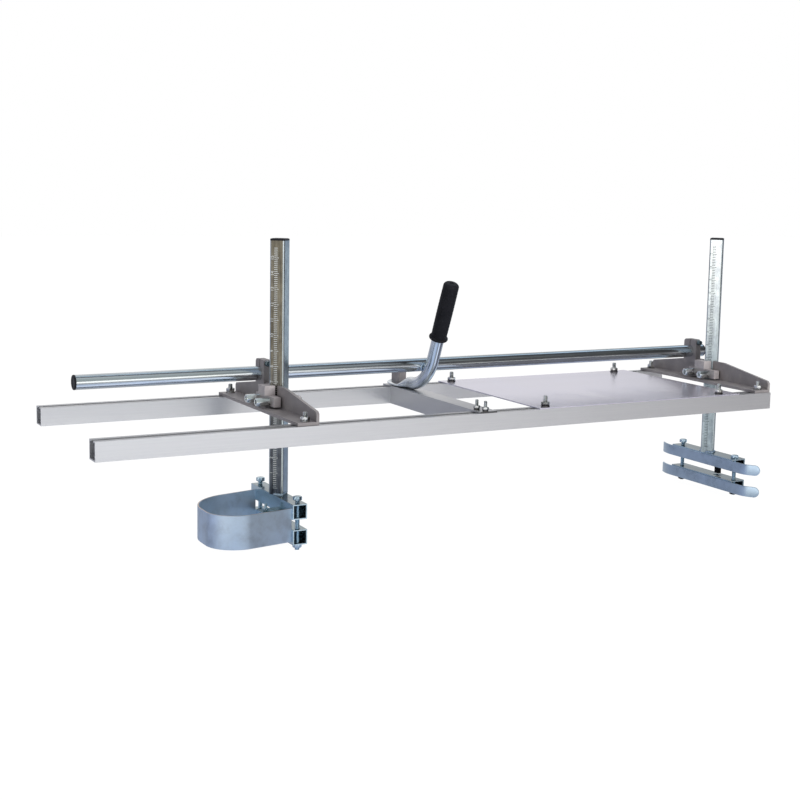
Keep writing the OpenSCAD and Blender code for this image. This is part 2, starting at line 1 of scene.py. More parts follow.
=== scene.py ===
"""Chainsaw mill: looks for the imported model.

Rails, deck, brackets and clamp tubes are softened copies of the CAD pieces. The posts, the push tube,
the handle, the grip, the nose band, the skids, the fasteners, the welds, the caps and the rulers are
surfaces made here.
"""

import math

import bmesh
import bpy
import numpy as np
from mathutils import Matrix, Vector


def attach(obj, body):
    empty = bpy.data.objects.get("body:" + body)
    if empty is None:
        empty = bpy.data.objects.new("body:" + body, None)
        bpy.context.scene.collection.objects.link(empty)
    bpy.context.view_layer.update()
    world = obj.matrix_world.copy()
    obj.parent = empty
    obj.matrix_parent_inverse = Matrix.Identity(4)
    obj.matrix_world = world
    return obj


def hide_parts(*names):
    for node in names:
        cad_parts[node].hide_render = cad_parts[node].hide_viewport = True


bl_info = {
    "name": "Chainsaw mill",
    "version": (1, 0, 0),
    "blender": (4, 5, 0),
    "location": "View3D > Sidebar > Mill",
    "description": "Builds the looks of a chainsaw mill round its CAD frame",
    "category": "Object",
}

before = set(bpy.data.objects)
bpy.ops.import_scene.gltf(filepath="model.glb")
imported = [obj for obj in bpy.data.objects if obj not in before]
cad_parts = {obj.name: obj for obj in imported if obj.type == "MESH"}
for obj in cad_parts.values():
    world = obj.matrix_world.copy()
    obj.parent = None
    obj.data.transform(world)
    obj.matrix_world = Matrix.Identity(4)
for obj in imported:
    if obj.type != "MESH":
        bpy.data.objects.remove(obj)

MM = 0.001

# Places are in millimetres from the rails' left end, the frame's front and the rails' top.
SPAN_MID = 653.0
WIDTH_MID = 175.0
RAIL_TOP = 220.0
LEFT_WEB = 350.0
RIGHT_WEB = 1272.0
POST_OUT = 5.0
FRONT_SLOT = 15.0
REAR_SLOT = 335.0
SLIDE_GAP = 0.3


def to_model(points):
    """Points in rail measures, in millimetres, as points of the model, in metres."""
    return (np.asarray(points, float) + [-SPAN_MID, -WIDTH_MID, RAIL_TOP]) * MM


# Settings


class MillSizes(bpy.types.PropertyGroup):
    """Sizes of the pieces that are made here."""

    edge_round: bpy.props.FloatProperty(
        name="Edge rounding", description="Rounding along cut edges", default=0.4 * MM, unit="LENGTH"
    )
    thread_pitch: bpy.props.FloatProperty(
        name="Thread pitch", description="Rise of one turn of a thread", default=1.25 * MM, unit="LENGTH"
    )
    weld_size: bpy.props.FloatProperty(
        name="Weld size", description="Radius of a weld bead", default=2.4 * MM, unit="LENGTH"
    )
    tick_step: bpy.props.FloatProperty(
        name="Ruler step", description="Distance between two marks", default=3.175 * MM, unit="LENGTH"
    )


class MillColours(bpy.types.PropertyGroup):
    """Colours of the mill's finishes."""

    zinc: bpy.props.FloatVectorProperty(
        name="Zinc", description="Bright zinc plating", default=(0.47, 0.58, 0.69), subtype="COLOR"
    )
    rail: bpy.props.FloatVectorProperty(
        name="Rail", description="Satin aluminium of the rails", default=(0.69, 0.69, 0.70), subtype="COLOR"
    )
    deck: bpy.props.FloatVectorProperty(
        name="Deck", description="Bright sheet of the deck", default=(0.73, 0.71, 0.81), subtype="COLOR"
    )
    bracket: bpy.props.FloatVectorProperty(
        name="Bracket", description="Warm grey coat", default=(0.31, 0.285, 0.285), subtype="COLOR"
    )
    bolt: bpy.props.FloatVectorProperty(
        name="Bolt", description="Plain stainless steel", default=(0.62, 0.61, 0.58), subtype="COLOR"
    )
    black: bpy.props.FloatVectorProperty(
        name="Black", description="Black plastic and rubber", default=(0.008, 0.008, 0.010), subtype="COLOR"
    )


# Node materials


class Nodes:
    """Short forms for making and joining the nodes of one material or world."""

    def __init__(self, owner, output):
        owner.use_nodes = True
        self.owner = owner
        self.tree = owner.node_tree
        self.tree.nodes.clear()
        self.output = self.new(output)
        self.place = self.new("TexCoord")

    def new(self, kind, **values):
        """A node with values set on its inputs, where an underscore stands for a space."""
        node = self.tree.nodes.new("ShaderNode" + kind)
        for socket, value in values.items():
            node.inputs[socket.replace("_", " ")].default_value = value
        return node

    def join(self, source, out, target, socket):
        self.tree.links.new(source.outputs[out], target.inputs[socket])

    def mapping(self, scale, lean):
        """Stretches the pattern along the axes, after leaning them about X."""
        node = self.new("Mapping", Scale=[1 / part for part in scale], Rotation=(lean, 0, 0))
        node.vector_type = "TEXTURE"
        self.join(self.place, "Object", node, "Vector")
        return node

    def noise(self, scale, detail, rough, stretch=(1, 1, 1), lean=0.0):
        """A cloud pattern fixed to the model, which can be drawn out along the axes."""
        node = self.new("TexNoise", Scale=scale, Detail=detail, Roughness=rough)
        self.join(self.mapping(stretch, lean), "Vector", node, "Vector")
        return node

    def ramp(self, source, stops):
        """Colours along a pattern, from pairs of a position and a colour or a grey."""
        node = self.new("ValToRGB")
        elements = node.color_ramp.elements
        while len(elements) < len(stops):
            elements.new(0.5)
        for element, (spot, colour) in zip(elements, stops):
            element.position = spot
            element.color = (colour, colour, colour, 1) if isinstance(colour, float) else (*colour, 1)
        self.tree.links.new(pattern_out(source), node.inputs["Fac"])
        return node

    def height(self, low, high):
        """Runs from 0 to 1 between two heights of the model."""
        split = self.new("SeparateXYZ")
        self.join(self.place, "Object", split, 0)
        node = self.new("MapRange", From_Min=low, From_Max=high)
        self.join(split, "Z", node, "Value")
        return node

    def mix(self, factor, a, b, blend="MIX"):
        """Mixes two colours, given as nodes with a colour output or as plain colours."""
        node = self.new("Mix")
        node.data_type = "RGBA"
        node.blend_type = blend
        for socket, value in (("A", a), ("B", b)):
            target = next(s for s in node.inputs if s.name == socket and s.type == "RGBA")
            if isinstance(value, bpy.types.Node):
                self.tree.links.new(colour_out(value), target)
            else:
                target.default_value = (*value, 1)
        if isinstance(factor, bpy.types.Node):
            self.tree.links.new(factor.outputs[0], node.inputs[0])
        else:
            node.inputs[0].default_value = factor
        return node

    def choose(self, share, a, b):
        """Mixes two shaders by a share, all three given as outputs."""
        node = self.new("MixShader")
        for socket, source in zip(node.inputs, (share, a, b)):
            self.tree.links.new(source, socket)
        return node.outputs[0]

    def range(self, source, low, high):
        """Carries a pattern's middle range to the roughness."""
        node = self.new("MapRange", From_Min=0.3, From_Max=0.7, To_Min=low, To_Max=high)
        self.tree.links.new(pattern_out(source), node.inputs["Value"])
        self.join(node, "Result", self.shader, "Roughness")

    def bump(self, source, strength, distance):
        node = self.new("Bump", Strength=strength, Distance=distance)
        self.tree.links.new(pattern_out(source), node.inputs["Height"])
        self.join(node, "Normal", self.shader, "Normal")


class Finish(Nodes):
    """The nodes of a new material with one shader."""

    def __init__(self, name, **values):
        super().__init__(bpy.data.materials.new(name), "OutputMaterial")
        self.shader = self.new("BsdfPrincipled", **values)
        self.join(self.shader, "BSDF", self.output, "Surface")

    def colour(self, node):
        self.tree.links.new(colour_out(node), self.shader.inputs["Base Color"])


def colour_out(node):
    """The colour output of a ramp or a mix."""
    return next(s for s in node.outputs if s.type == "RGBA" and s.enabled)


def pattern_out(node):
    """The 0 to 1 output of a pattern or a range."""
    return node.outputs.get("Fac") or node.outputs[0]


def scaled(colour, by):
    """A colour made lighter or darker."""
    return tuple(min(c * by, 1.0) for c in colour)


def warmed(colour, by):
    """A colour moved from blue towards yellow."""
    return (colour[0] + by, colour[1] + by * 0.6, max(colour[2] - by, 0.0))


def zinc_material(name, colour, haze=0.0, depth=1.0, drawn=(1, 1, 1), lean=0.0):
    """Bright zinc: a clouded film, fine drawn lines and a faint yellow cast over blue-white metal."""
    n = Finish(name, Metallic=1.0)
    cloud = n.noise(24, 6, 0.66, drawn, lean)
    dark, light = scaled(colour, 1 - 0.2 * depth), scaled(colour, 1 + 0.14 * depth)
    film = n.ramp(cloud, [(0.34, dark), (0.50, colour), (0.70, light)])
    tint = n.ramp(n.noise(9, 3, 0.5), [(0.42, 1.0), (0.66, warmed((0.96, 0.96, 0.96), 0.03))])
    n.colour(n.mix(1.0, film, tint, "MULTIPLY"))
    n.range(cloud, 0.24 + haze, 0.38 + haze)
    n.bump(n.noise(420, 3, 0.7, (0.25, 1, 1)), 0.08, 0.00010)


def aged_material(name, low, high, span, depth):
    """Zinc for one face of a post, with that face's painted light and shade: one colour low down, another
    high up, with streaks up the tube.
    """
    n = Finish(name, Metallic=1.0)
    streak = n.noise(260, 4, 0.65, (1, 1, 0.05))
    blot = n.noise(60, 5, 0.7)
    base = n.mix(n.height(*span), low, high)
    lines = n.ramp(streak, [(0.36, 1 - depth), (0.52, 1.0), (0.68, 1 + depth)])
    spots = n.ramp(blot, [(0.40, (0.8, 0.8, 0.82)), (0.60, (1.1, 1.1, 1.08))])
    n.colour(n.mix(1.0, n.mix(1.0, base, lines, "MULTIPLY"), spots, "MULTIPLY"))
    n.range(streak, 0.20, 0.42)
    n.bump(blot, 0.10, 0.0002)


def rail_material(name, colour):
    """Satin aluminium with long drawn lines along the rail and a faint cloud."""
    n = Finish(name, Metallic=0.85)
    lines = n.noise(900, 2, 0.6, (0.012, 1, 1))
    cloud = n.noise(5, 3, 0.5)
    base = n.ramp(cloud, [(0.35, scaled(colour, 0.97)), (0.65, scaled(colour, 1.03))])
    streak = n.ramp(lines, [(0.38, (0.965, 0.965, 0.97)), (0.62, 1.0)])
    n.colour(n.mix(1.0, base, streak, "MULTIPLY"))
    n.range(cloud, 0.28, 0.34)
    n.bump(lines, 0.05, 0.00006)


def deck_material(name, colour):
    """Rolled bright sheet: nearly a mirror, with faint rolling lines and soft smears."""
    n = Finish(name, Metallic=0.8)
    smear = n.noise(11, 4, 0.6, (1, 0.4, 1))
    n.colour(n.ramp(smear, [(0.35, scaled(colour, 0.94)), (0.68, scaled(colour, 1.04))]))
    n.range(smear, 0.16, 0.27)
    n.bump(n.noise(500, 2, 0.5, (1, 0.02, 1)), 0.05, 0.00006)


def bracket_material(name, colour):
    """Warm grey coat on plate: fine grain, slightly lighter where it is rubbed."""
    n = Finish(name, Metallic=0.45)
    rub = n.noise(38, 5, 0.65)
    light = scaled(warmed(colour, 0.01), 1.28)
    n.colour(n.ramp(rub, [(0.30, scaled(colour, 0.86)), (0.55, colour), (0.78, light)]))
    n.range(rub, 0.42, 0.55)
    n.bump(n.noise(650, 3, 0.7), 0.22, 0.00015)


def bolt_material(name, colour):
    """Stainless steel with turned lines, dirt in the hollows and a painted shadow: a dark foot at the
    plates.
    """
    n = Finish(name, Metallic=1.0)
    dirt = n.noise(120, 4, 0.6)
    steel = n.ramp(dirt, [(0.38, scaled(colour, 0.36)), (0.50, colour), (0.70, scaled(colour, 1.35))])
    # Painted shadow: the bolts turn dark below 0.2245 m, where they meet the plates, and fade back to their
    # own colour by 0.2275 m.
    foot = n.mix(n.height(0.2245, 0.2275), (0.16, 0.15, 0.15), (1, 1, 1))
    n.colour(n.mix(1.0, steel, foot, "MULTIPLY"))
    n.range(dirt, 0.10, 0.24)
    n.bump(n.noise(700, 3, 0.6), 0.10, 0.00008)


def plastic_material(name, colour, rough, grain_depth):
    """Moulded black: a fine leathery grain and a slightly greyer bloom."""
    n = Finish(name, Specular_IOR_Level=0.15)
    bloom = n.noise(40, 3, 0.5)
    n.colour(n.ramp(bloom, [(0.35, colour), (0.75, scaled(colour, 1.6))]))
    n.range(bloom, rough - 0.06, rough + 0.06)
    n.bump(n.noise(900, 2, 0.5), grain_depth, 0.0002)


def finishes():
    """The mill's materials by name, made once and kept in the file."""
    colours = bpy.context.scene.mill_colours
    steel_side = (0.50, 0.545, 0.55)
    table = {
        "mill_zinc": (zinc_material, colours.zinc),
        "mill_zinc_post": (zinc_material, steel_side, -0.12, 1.6, (1, 1, 0.3)),
        # Painted light and shade on the posts: each face gets its own copy of the zinc. The right post's
        # outer face is a lit copy, darker towards the bottom; the left post's outer face is a shaded copy;
        # the side faces are darker towards the bottom on the left post and darker all along on the right.
        "mill_zinc_dull": (aged_material, (0.33, 0.385, 0.41), (0.92, 0.96, 0.95), (0.24, 0.46), 0.30),
        "mill_zinc_aged": (aged_material, (0.105, 0.115, 0.13), (0.165, 0.148, 0.113), (0.17, 0.30), 0.5),
        "mill_zinc_side_left": (aged_material, (0.25, 0.285, 0.34), steel_side, (0.15, 0.24), 0.3),
        "mill_zinc_side_right": (aged_material, (0.3, 0.32, 0.335), (0.31, 0.335, 0.36), (0.15, 0.24), 0.3),
        "mill_zinc_tube": (zinc_material, (0.60, 0.635, 0.66), -0.17, 1.0, (0.16, 1, 1)),
        "mill_zinc_jaw": (zinc_material, (0.52, 0.65, 0.73), -0.10, 1.6, (1, 0.25, 1)),
        "mill_zinc_shade": (zinc_material, (0.22, 0.285, 0.31), -0.14, 2.6, (1, 0.2, 1)),
        "mill_zinc_band": (zinc_material, (0.57, 0.67, 0.79), 0.22),
        "mill_zinc_nut": (zinc_material, (0.76, 0.79, 0.78), -0.10, 2.0),
        "mill_zinc_edge": (zinc_material, (0.58, 0.47, 0.41)),
        "mill_zinc_bent": (zinc_material, (0.74, 0.79, 0.83), -0.12, 2.4, (6, 1, 0.25), LEAN),
        "mill_rail": (rail_material, colours.rail),
        "mill_brace": (rail_material, scaled(colours.rail, 0.80)),
        # Painted shade: a darker copy of the rail's metal for the rails' top faces.
        "mill_rail_top": (rail_material, scaled(colours.rail, 0.74)),
        # Painted shade: a nearly black copy of the rail's metal for the brace's front faces.
        "mill_rail_cut": (rail_material, scaled(colours.rail, 0.16)),
        "mill_block": (bracket_material, scaled(colours.bracket, 1.7)),
        "mill_deck": (deck_material, colours.deck),
        "mill_bracket": (bracket_material, colours.bracket),
        "mill_bolt": (bolt_material, colours.bolt),
        "mill_cap": (plastic_material, colours.black, 0.42, 0.08),
        "mill_grip": (plastic_material, colours.black, 0.55, 0.30),
        "mill_mark_pale": (zinc_material, (0.50, 0.52, 0.52)),
        "mill_mark_dark": (zinc_material, (0.035, 0.04, 0.04)),
        "mill_dark": (bolt_material, (0.06, 0.065, 0.07)),
    }
    for name, (make, *values) in table.items():
        if name not in bpy.data.materials:
            make(name, *values)
    return bpy.data.materials


# Surfaces


def loft(rings, close_ends=True):
    """Faces between rings of equal length, in order, with flat ends. Returns (points, faces)."""
    rings = np.asarray(rings, float)
    count, around = rings.shape[:2]
    index = np.arange(count * around).reshape(count, around)
    a = index[:-1]
    b = np.roll(index[:-1], -1, axis=1)
    c = np.roll(index[1:], -1, axis=1)
    d = index[1:]
    faces = np.stack([a, b, c, d], axis=-1).reshape(-1, 4).tolist()
    if close_ends:
        faces.append(index[0][::-1].tolist())
        faces.append(index[-1].tolist())
    return rings.reshape(-1, 3), faces


def joined(parts):
    """Several (points, faces) as one."""
    points, faces, start = [], [], 0
    for part_points, part_faces in parts:
        points.append(part_points)
        faces += [[i + start for i in face] for face in part_faces]
        start += len(part_points)
    return np.concatenate(points), faces


def piece(name, shape, material, body, replaced=(), sharp=35):
    """A mesh object from (points in rail measures, faces) that rides on a body."""
    points, faces = shape
    mesh = bpy.data.meshes.new(name)
    mesh.from_pydata(to_model(points).tolist(), [], faces)
    shell = bmesh.new()
    shell.from_mesh(mesh)
    bmesh.ops.remove_doubles(shell, verts=shell.verts, dist=1e-6)
    bmesh.ops.recalc_face_normals(shell, faces=shell.faces)
    for edge in shell.edges:
        edge.smooth = len(edge.link_faces) == 2 and edge.calc_face_angle(0) < math.radians(sharp)
    for face in shell.faces:
        face.smooth = True
    shell.to_mesh(mesh)
    shell.free()
    return finished(name, mesh, material, body, replaced)


def finished(name, mesh, material, body, replaced):
    """Links a mesh as a piece with its material, body and replaced nodes."""
    mesh.materials.clear()
    mesh.materials.append(finishes()[material])
    obj = bpy.data.objects.new(name, mesh)
    bpy.context.scene.collection.objects.link(obj)
    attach(obj, body)
    if replaced:
        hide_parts(*replaced)
    return obj


def circle(sides):
    """Angles of evenly spaced points round a circle."""
    return np.linspace(0, 2 * np.pi, sides, endpoint=False)


def rings_of(radius, z):
    """Rings about the Z axis from rows of radii and their heights: x = r cos t, y = r sin t."""
    angle = circle(radius.shape[1])
    height = np.broadcast_to(np.asarray(z, float)[:, None], radius.shape)
    return np.stack([radius * np.cos(angle), radius * np.sin(angle), height], axis=-1)


def turned(profile, sides=40):
    """Rings of a round shape on the Z axis from (radius, height) pairs."""
    profile = np.asarray(profile, float)
    return rings_of(np.repeat(profile[:, :1], sides, axis=1), profile[:, 1])


def hexagon(flats, heights, limits, sides=48):
    """Rings of a hexagon whose corners are cut to a round limit: r = min(flats / 2 / cos(t), limit)."""
    flat_angle = (circle(sides) + np.pi / 6) % (np.pi / 3) - np.pi / 6
    corner = flats / 2 / np.cos(flat_angle)
    return rings_of(np.minimum(corner, np.asarray(limits, float)[:, None] * flats / 2), heights)


# The frame's bolts: nut's width and height, radius, washer, and the rail's lip that they clamp.
NUT_FLATS = 13.0
NUT_HEIGHT = 6.5
BOLT_R = 4.0
WASHER = 1.6
LIP = 2.2


def nut(flats, height, low=0.0):
    """Hexagon nut with both faces chamfered."""
    shares = np.array([0, 0.05, 0.16, 0.84, 0.95, 1])
    return loft(hexagon(flats, low + height * shares, [0.90, 1.00, 1.17, 1.17, 1.00, 0.90]))


def thread(radius, low, high, sides=20):
    """Screw thread on the Z axis: r = radius - depth * |saw(z / pitch - t)|, with a chamfered end."""
    pitch = bpy.context.scene.mill_sizes.thread_pitch / MM
    z = np.arange(low, high, pitch / 5)
    phase = (z[:, None] / pitch - circle(sides) / (2 * np.pi)) % 1.0
    depth = 0.09 * radius + 0.25
    ends = np.minimum((high - z) * 0.8 + radius * 0.70, radius)
    return loft(rings_of(np.minimum(radius - depth * np.abs(2 * phase - 1), ends[:, None]), z))


def washer(radius, low, height):
    """Flat ring with soft edges."""
    edge = 0.25
    high = low + height
    inner = radius - edge
    return loft(turned([(inner, low), (radius, low + edge), (radius, high - edge), (inner, high)]))


# Turns that lay a shape made on the Z axis along another one.
AXES = {
    "z": np.eye(3),
    "x": np.array([[0, 0, 1], [0, 1, 0], [-1, 0, 0]], float),
    "y": np.array([[1, 0, 0], [0, 0, 1], [0, -1, 0]], float),
}


def at(spot, shape, axis="z", turn=0.0):
    """A shape made on the Z axis, turned about it in degrees, laid along an axis and moved to a spot."""
    points, faces = shape
    t = math.radians(turn)
    spin = np.array([[math.cos(t), -math.sin(t), 0], [math.sin(t), math.cos(t), 0], [0, 0, 1]])
    return points @ spin.T @ AXES[axis].T + np.asarray(spot, float), faces


def slot_bolt(sheet, play=0.0, turn=0.0):
    """Bolt, washer and nut that hold a sheet on a rail, with the plate under the slot's lips."""
    plate_wide, plate_high, bolt_top = 18, 4, 20.3
    low = -LIP - play - plate_high
    top = sheet + play
    return joined([
        loft(box_rings(plate_wide, plate_wide, low, low + plate_high, 0.6)),
        thread(BOLT_R, low, bolt_top + play),
        washer(2 * BOLT_R, top, WASHER),
        at((0, 0, 0), nut(NUT_FLATS, NUT_HEIGHT, top + WASHER), turn=turn),
    ])


def box_rings(wide, deep, low, high, edge):
    """Rings of a block with softened edges: each ring is a rounded rectangle."""
    levels = [(low, edge), (low + edge, 0.0), (high - edge, 0.0), (high, edge)]
    return np.stack([rounded_outline(wide - 2 * inset, deep - 2 * inset, edge, z) for z, inset in levels])


def rounded_outline(wide, deep, radius, z, steps=4):
    """Outline of a rectangle with round corners: corner centres plus r (cos t, sin t)."""
    quarter = np.linspace(0, np.pi / 2, steps + 1)
    parts = []
    for k, (sx, sy) in enumerate([(1, 1), (-1, 1), (-1, -1), (1, -1)]):
        t = quarter + k * np.pi / 2
        x = sx * (wide / 2 - radius) + radius * np.cos(t)
        y = sy * (deep / 2 - radius) + radius * np.sin(t)
        parts.append(np.stack([x, y, np.full_like(x, z)], axis=-1))
    return np.concatenate(parts)


def sweep(path, across, up, section):
    """Rings of a section carried along a path: p(s) + across(s) u + up(s) v."""
    path = np.asarray(path, float)[:, None, :]
    u = section[..., 0][..., None]
    v = section[..., 1][..., None]
    return path + across[:, None, :] * u + up[:, None, :] * v


def directions(path):
    """Unit tangents along a path."""
    tangent = np.gradient(path, axis=0)
    return tangent / np.linalg.norm(tangent, axis=1, keepdims=True)


def arc(centre, radius, start, end, steps):
    """Points on an arc in the plane: centre + r (cos t, sin t), with t in degrees."""
    t = np.radians(np.linspace(start, end, steps))
    return np.stack([centre[0] + radius * np.cos(t), centre[1] + radius * np.sin(t)], axis=-1)


# Softened CAD pieces


def softened(node, body, material, edge=None):
    """A copy of a CAD node with its triangles merged into flat faces and its edges rounded."""
    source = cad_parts[node]
    mesh = source.data.copy()
    shell = bmesh.new()
    shell.from_mesh(mesh)
    bmesh.ops.remove_doubles(shell, verts=shell.verts, dist=2e-6)
    bmesh.ops.dissolve_limit(
        shell, angle_limit=math.radians(0.5), verts=shell.verts, edges=shell.edges, delimit={"NORMAL"}
    )
    for face in shell.faces:
        face.smooth = True
    for line in shell.edges:
        line.smooth = len(line.link_faces) == 2 and line.calc_face_angle(0) < math.radians(25)
    shell.to_mesh(mesh)
    shell.free()
    obj = finished(node + "_shell", mesh, material, body, [node])
    bevel = obj.modifiers.new("edges", "BEVEL")
    bevel.width = edge or bpy.context.scene.mill_sizes.edge_round
    bevel.segments = 2
    bevel.limit_method = "ANGLE"
    bevel.angle_limit = math.radians(40)
    bevel.harden_normals = True
    return obj


def repaint(obj, direction, material):
    """Gives the faces of a piece that look one way another material."""
    mesh = obj.data
    normals = np.empty(len(mesh.polygons) * 3)
    mesh.polygons.foreach_get("normal", normals)
    facing = normals.reshape(-1, 3) @ direction > 0.97
    index = np.zeros(len(mesh.polygons), np.int32)
    mesh.polygons.foreach_get("material_index", index)
    mesh.materials.append(finishes()[material])
    index[facing] = len(mesh.materials) - 1
    mesh.polygons.foreach_set("material_index", index)


FRAME_SHELLS = {
    "front_rail": ("mill_rail", "alloy"),
    "rear_rail": ("mill_rail", "alloy"),
    "centre_brace": ("mill_brace", "alloy"),
    "deck_plate": ("mill_deck", "deck"),
    "foot_block": ("mill_bracket", "bracket_metal"),
}

CLAMP_SHELLS = {
    "bracket": "mill_bracket",
    "clamp_bar": "mill_block",
    "vee_block": "mill_block",
    "post_guide": "mill_block",
    "tube_clamp": "mill_bracket",
}

JAW_SHELLS = {
    "left_upright": ("left_upper_jaw", "nose_stop"),
    "left_jaw": ("left_lower_jaw",),
    "right_upright": ("right_upper_jaw",),
    "right_jaw": ("right_lower_jaw",),
}


class MILL_OT_frame(bpy.types.Operator):
    """Softens the rails, the brace, the deck plate and the foot block."""

    bl_idname = "mill.frame"
    bl_label = "Rails and deck"

    def execute(self, context):
        for node, (material, slot) in FRAME_SHELLS.items():
            shell = softened(node, "frame", material)
            if material == "mill_rail":
                # Painted shade on the rails' top faces.
                repaint(shell, FACE_UP, "mill_rail_top")
            if material == "mill_brace":
                # Painted shade: the brace's front faces are nearly black.
                repaint(shell, FACE_FRONT, "mill_rail_cut")
        return {"FINISHED"}


class MILL_OT_clamps(bpy.types.Operator):
    """Softens both end brackets and the blocks of their clamps."""

    bl_idname = "mill.clamps"
    bl_label = "Brackets and clamps"

    def execute(self, context):
        for side, body in (("left", "left_carriage"), ("right", "frame")):
            for node, metal in CLAMP_SHELLS.items():
                softened(f"{side}_{node}", body, metal)
        return {"FINISHED"}


class MILL_OT_jaws(bpy.types.Operator):
    """Softens the clamp tubes and the stop pieces and makes the posts."""

    bl_idname = "mill.jaws"
    bl_label = "Posts and clamp tubes"

    def execute(self, context):
        for body, nodes in JAW_SHELLS.items():
            for node in nodes:
                jaw = softened(node, body, "mill_zinc_jaw", edge=0.7 * MM)
                repaint(jaw, FACE_UP, "mill_zinc_shade")
        for side, x in (("left", LEFT_POST_X), ("right", RIGHT_POST_X)):
            post = piece(
                f"{side}_post_tube", post_tube_shape(x), "mill_zinc_post", f"{side}_upright",
                [f"{side}_post"],
            )
            # Painted light and shade: the outer and side faces get lit and shaded copies of the post's
            # zinc.
            repaint(post, FACE_OUT, "mill_zinc_aged" if side == "left" else "mill_zinc_dull")
            repaint(post, FACE_ALONG, f"mill_zinc_side_{side}")
        softened("right_jaw_stop", "right_upright", "mill_dark")
        return {"FINISHED"}


# Tubes, handle and grip

TUBE_AXIS = np.array([0.0, 226.0, 53.2])
TUBE_R = 12.0
TUBE_START = 31.0
TUBE_END = 1292.0
HANDLE_X = 655.0
BEND_Y = 271.0
BEND_R = 86.0
HANDLE_R = 11.0
PLATE_TOP = 3.0
LEAN = math.radians(23.5)
FOOT_END = 348.0
FOOT_HALF = 15.5
FOOT_WALL = 5.5
FLAT_RUN = 34.0
CURL = 2.6
CURL_FROM = 320.0
GRIP_START = 42.0
GRIP_LENGTH = 110.0


def handle_top():
    """Where the handle's bend ends: centre + R (-cos lean, -sin lean) in the plane across the rails."""
    turn = math.pi / 2 - LEAN
    return np.array([
        HANDLE_X,
        BEND_Y - BEND_R * math.sin(turn),
        PLATE_TOP + HANDLE_R + BEND_R - BEND_R * math.cos(turn),
    ])


def handle_shape():
    """Tube carried along foot, bend and grip line; its section flattens over the foot as a smooth step."""
    foot = np.linspace(FOOT_END, BEND_Y, 44)[:-1]
    turn = np.linspace(0, math.pi / 2 - LEAN, 36)
    top = handle_top()
    line = np.array([0.0, -math.sin(LEAN), math.cos(LEAN)])
    run = np.linspace(0, GRIP_START + GRIP_LENGTH - 6, 12)[1:]
    flat = np.clip((foot - BEND_Y) / FLAT_RUN, 0, 1)
    flat = flat * flat * (3 - 2 * flat)
    tip = np.clip((FOOT_END - foot) / FOOT_HALF, 0.02, 1)
    half_w = HANDLE_R + (FOOT_HALF - HANDLE_R) * flat
    half_w = half_w * np.sqrt(1 - (1 - tip) ** 2)
    half_h = HANDLE_R + (FOOT_WALL / 2 - HANDLE_R) * flat
    curl = CURL * np.clip((foot - CURL_FROM) / (FOOT_END - CURL_FROM), 0, 1) ** 2
    y = np.concatenate([foot, BEND_Y - BEND_R * np.sin(turn), top[1] + line[1] * run])
    z = np.concatenate([
        PLATE_TOP + half_h + curl,
        PLATE_TOP + HANDLE_R + BEND_R * (1 - np.cos(turn)),
        top[2] + line[2] * run,
    ])
    path = np.stack([np.full_like(y, HANDLE_X), y, z], axis=-1)
    across = np.tile([1.0, 0.0, 0.0], (len(path), 1))
    up = np.cross(directions(path), across)
    rest = np.full(len(path) - len(foot), HANDLE_R)
    half_w = np.concatenate([half_w, rest])
    half_h = np.concatenate([half_h, rest])
    power = np.concatenate([1 - 0.35 * flat, np.ones(len(rest))])[:, None]
    cos, sin = np.cos(circle(48)), np.sin(circle(48))
    section = np.stack([
        half_w[:, None] * np.sign(cos) * np.abs(cos) ** power,
        half_h[:, None] * np.sign(sin) * np.abs(sin) ** power,
    ], axis=-1)
    return loft(sweep(path, across, up, section))


def lean_axis(shape):
    """Lays a shape made on the Z axis along the handle's straight part."""
    points, faces = shape
    tilt = np.array([
        [1, 0, 0],
        [0, math.cos(LEAN), -math.sin(LEAN)],
        [0, math.sin(LEAN), math.cos(LEAN)],
    ])
    return points @ tilt.T + handle_top(), faces


def grip_shape():
    """Turned grip: rolled collar, body that swells by a fine wave, and a domed end with a dimple."""
    s = np.linspace(0, 1, 90)
    body_z = 8 + (GRIP_LENGTH - 14) * s
    body_r = 13.8 + 0.12 * np.sin(s * math.pi * 30) * (s < 0.93) + 0.3 * np.sin(s * math.pi)
    t = np.linspace(-math.pi / 2, math.pi / 2, 12)
    collar = np.stack([14.0 + 2.9 * np.cos(t), 3 + 3.0 * np.sin(t)], axis=-1)
    t = np.linspace(0, math.pi / 2, 10)[1:]
    dome = np.stack([7.8 + 6.0 * np.cos(t), GRIP_LENGTH - 6 + 6 * np.sin(t)], axis=-1)
    dimple = np.array([[4.0, GRIP_LENGTH], [3.0, GRIP_LENGTH - 1.2], [0.4, GRIP_LENGTH - 1.6]])
    profile = np.concatenate([collar, np.stack([body_r, body_z], axis=-1), dome, dimple])
    profile[:, 1] += GRIP_START
    return lean_axis(loft(turned(profile, 48)))


def bead(path, size, seed):
    """Weld bead: a tube along a path whose radius ripples, r = size (1 + 0.14 sin(k s) + 0.08 sin(...))."""
    path = np.asarray(path, float)
    step = np.linalg.norm(np.diff(path, axis=0), axis=1)
    s = np.concatenate([[0], np.cumsum(step)])
    even = np.linspace(0, s[-1], max(int(s[-1] / 0.45), 12))
    path = np.stack([np.interp(even, s, path[:, k]) for k in range(3)], axis=-1)
    tangent = directions(path)
    side = np.cross(tangent, [0.31, 0.22, 0.92])
    side /= np.linalg.norm(side, axis=1, keepdims=True)
    up = np.cross(side, tangent)
    ends = np.sqrt(np.clip(np.minimum(even, even[-1] - even) / size, 0.03, 1))
    radius = size * ends * (1 + 0.14 * np.sin(even * 2.1 + seed) + 0.08 * np.sin(even * 0.9 + 2 * seed))
    angle = circle(14)
    section = radius[:, None, None] * np.stack([np.cos(angle), np.sin(angle)], axis=-1)[None]
    return loft(sweep(path, side, up, section))


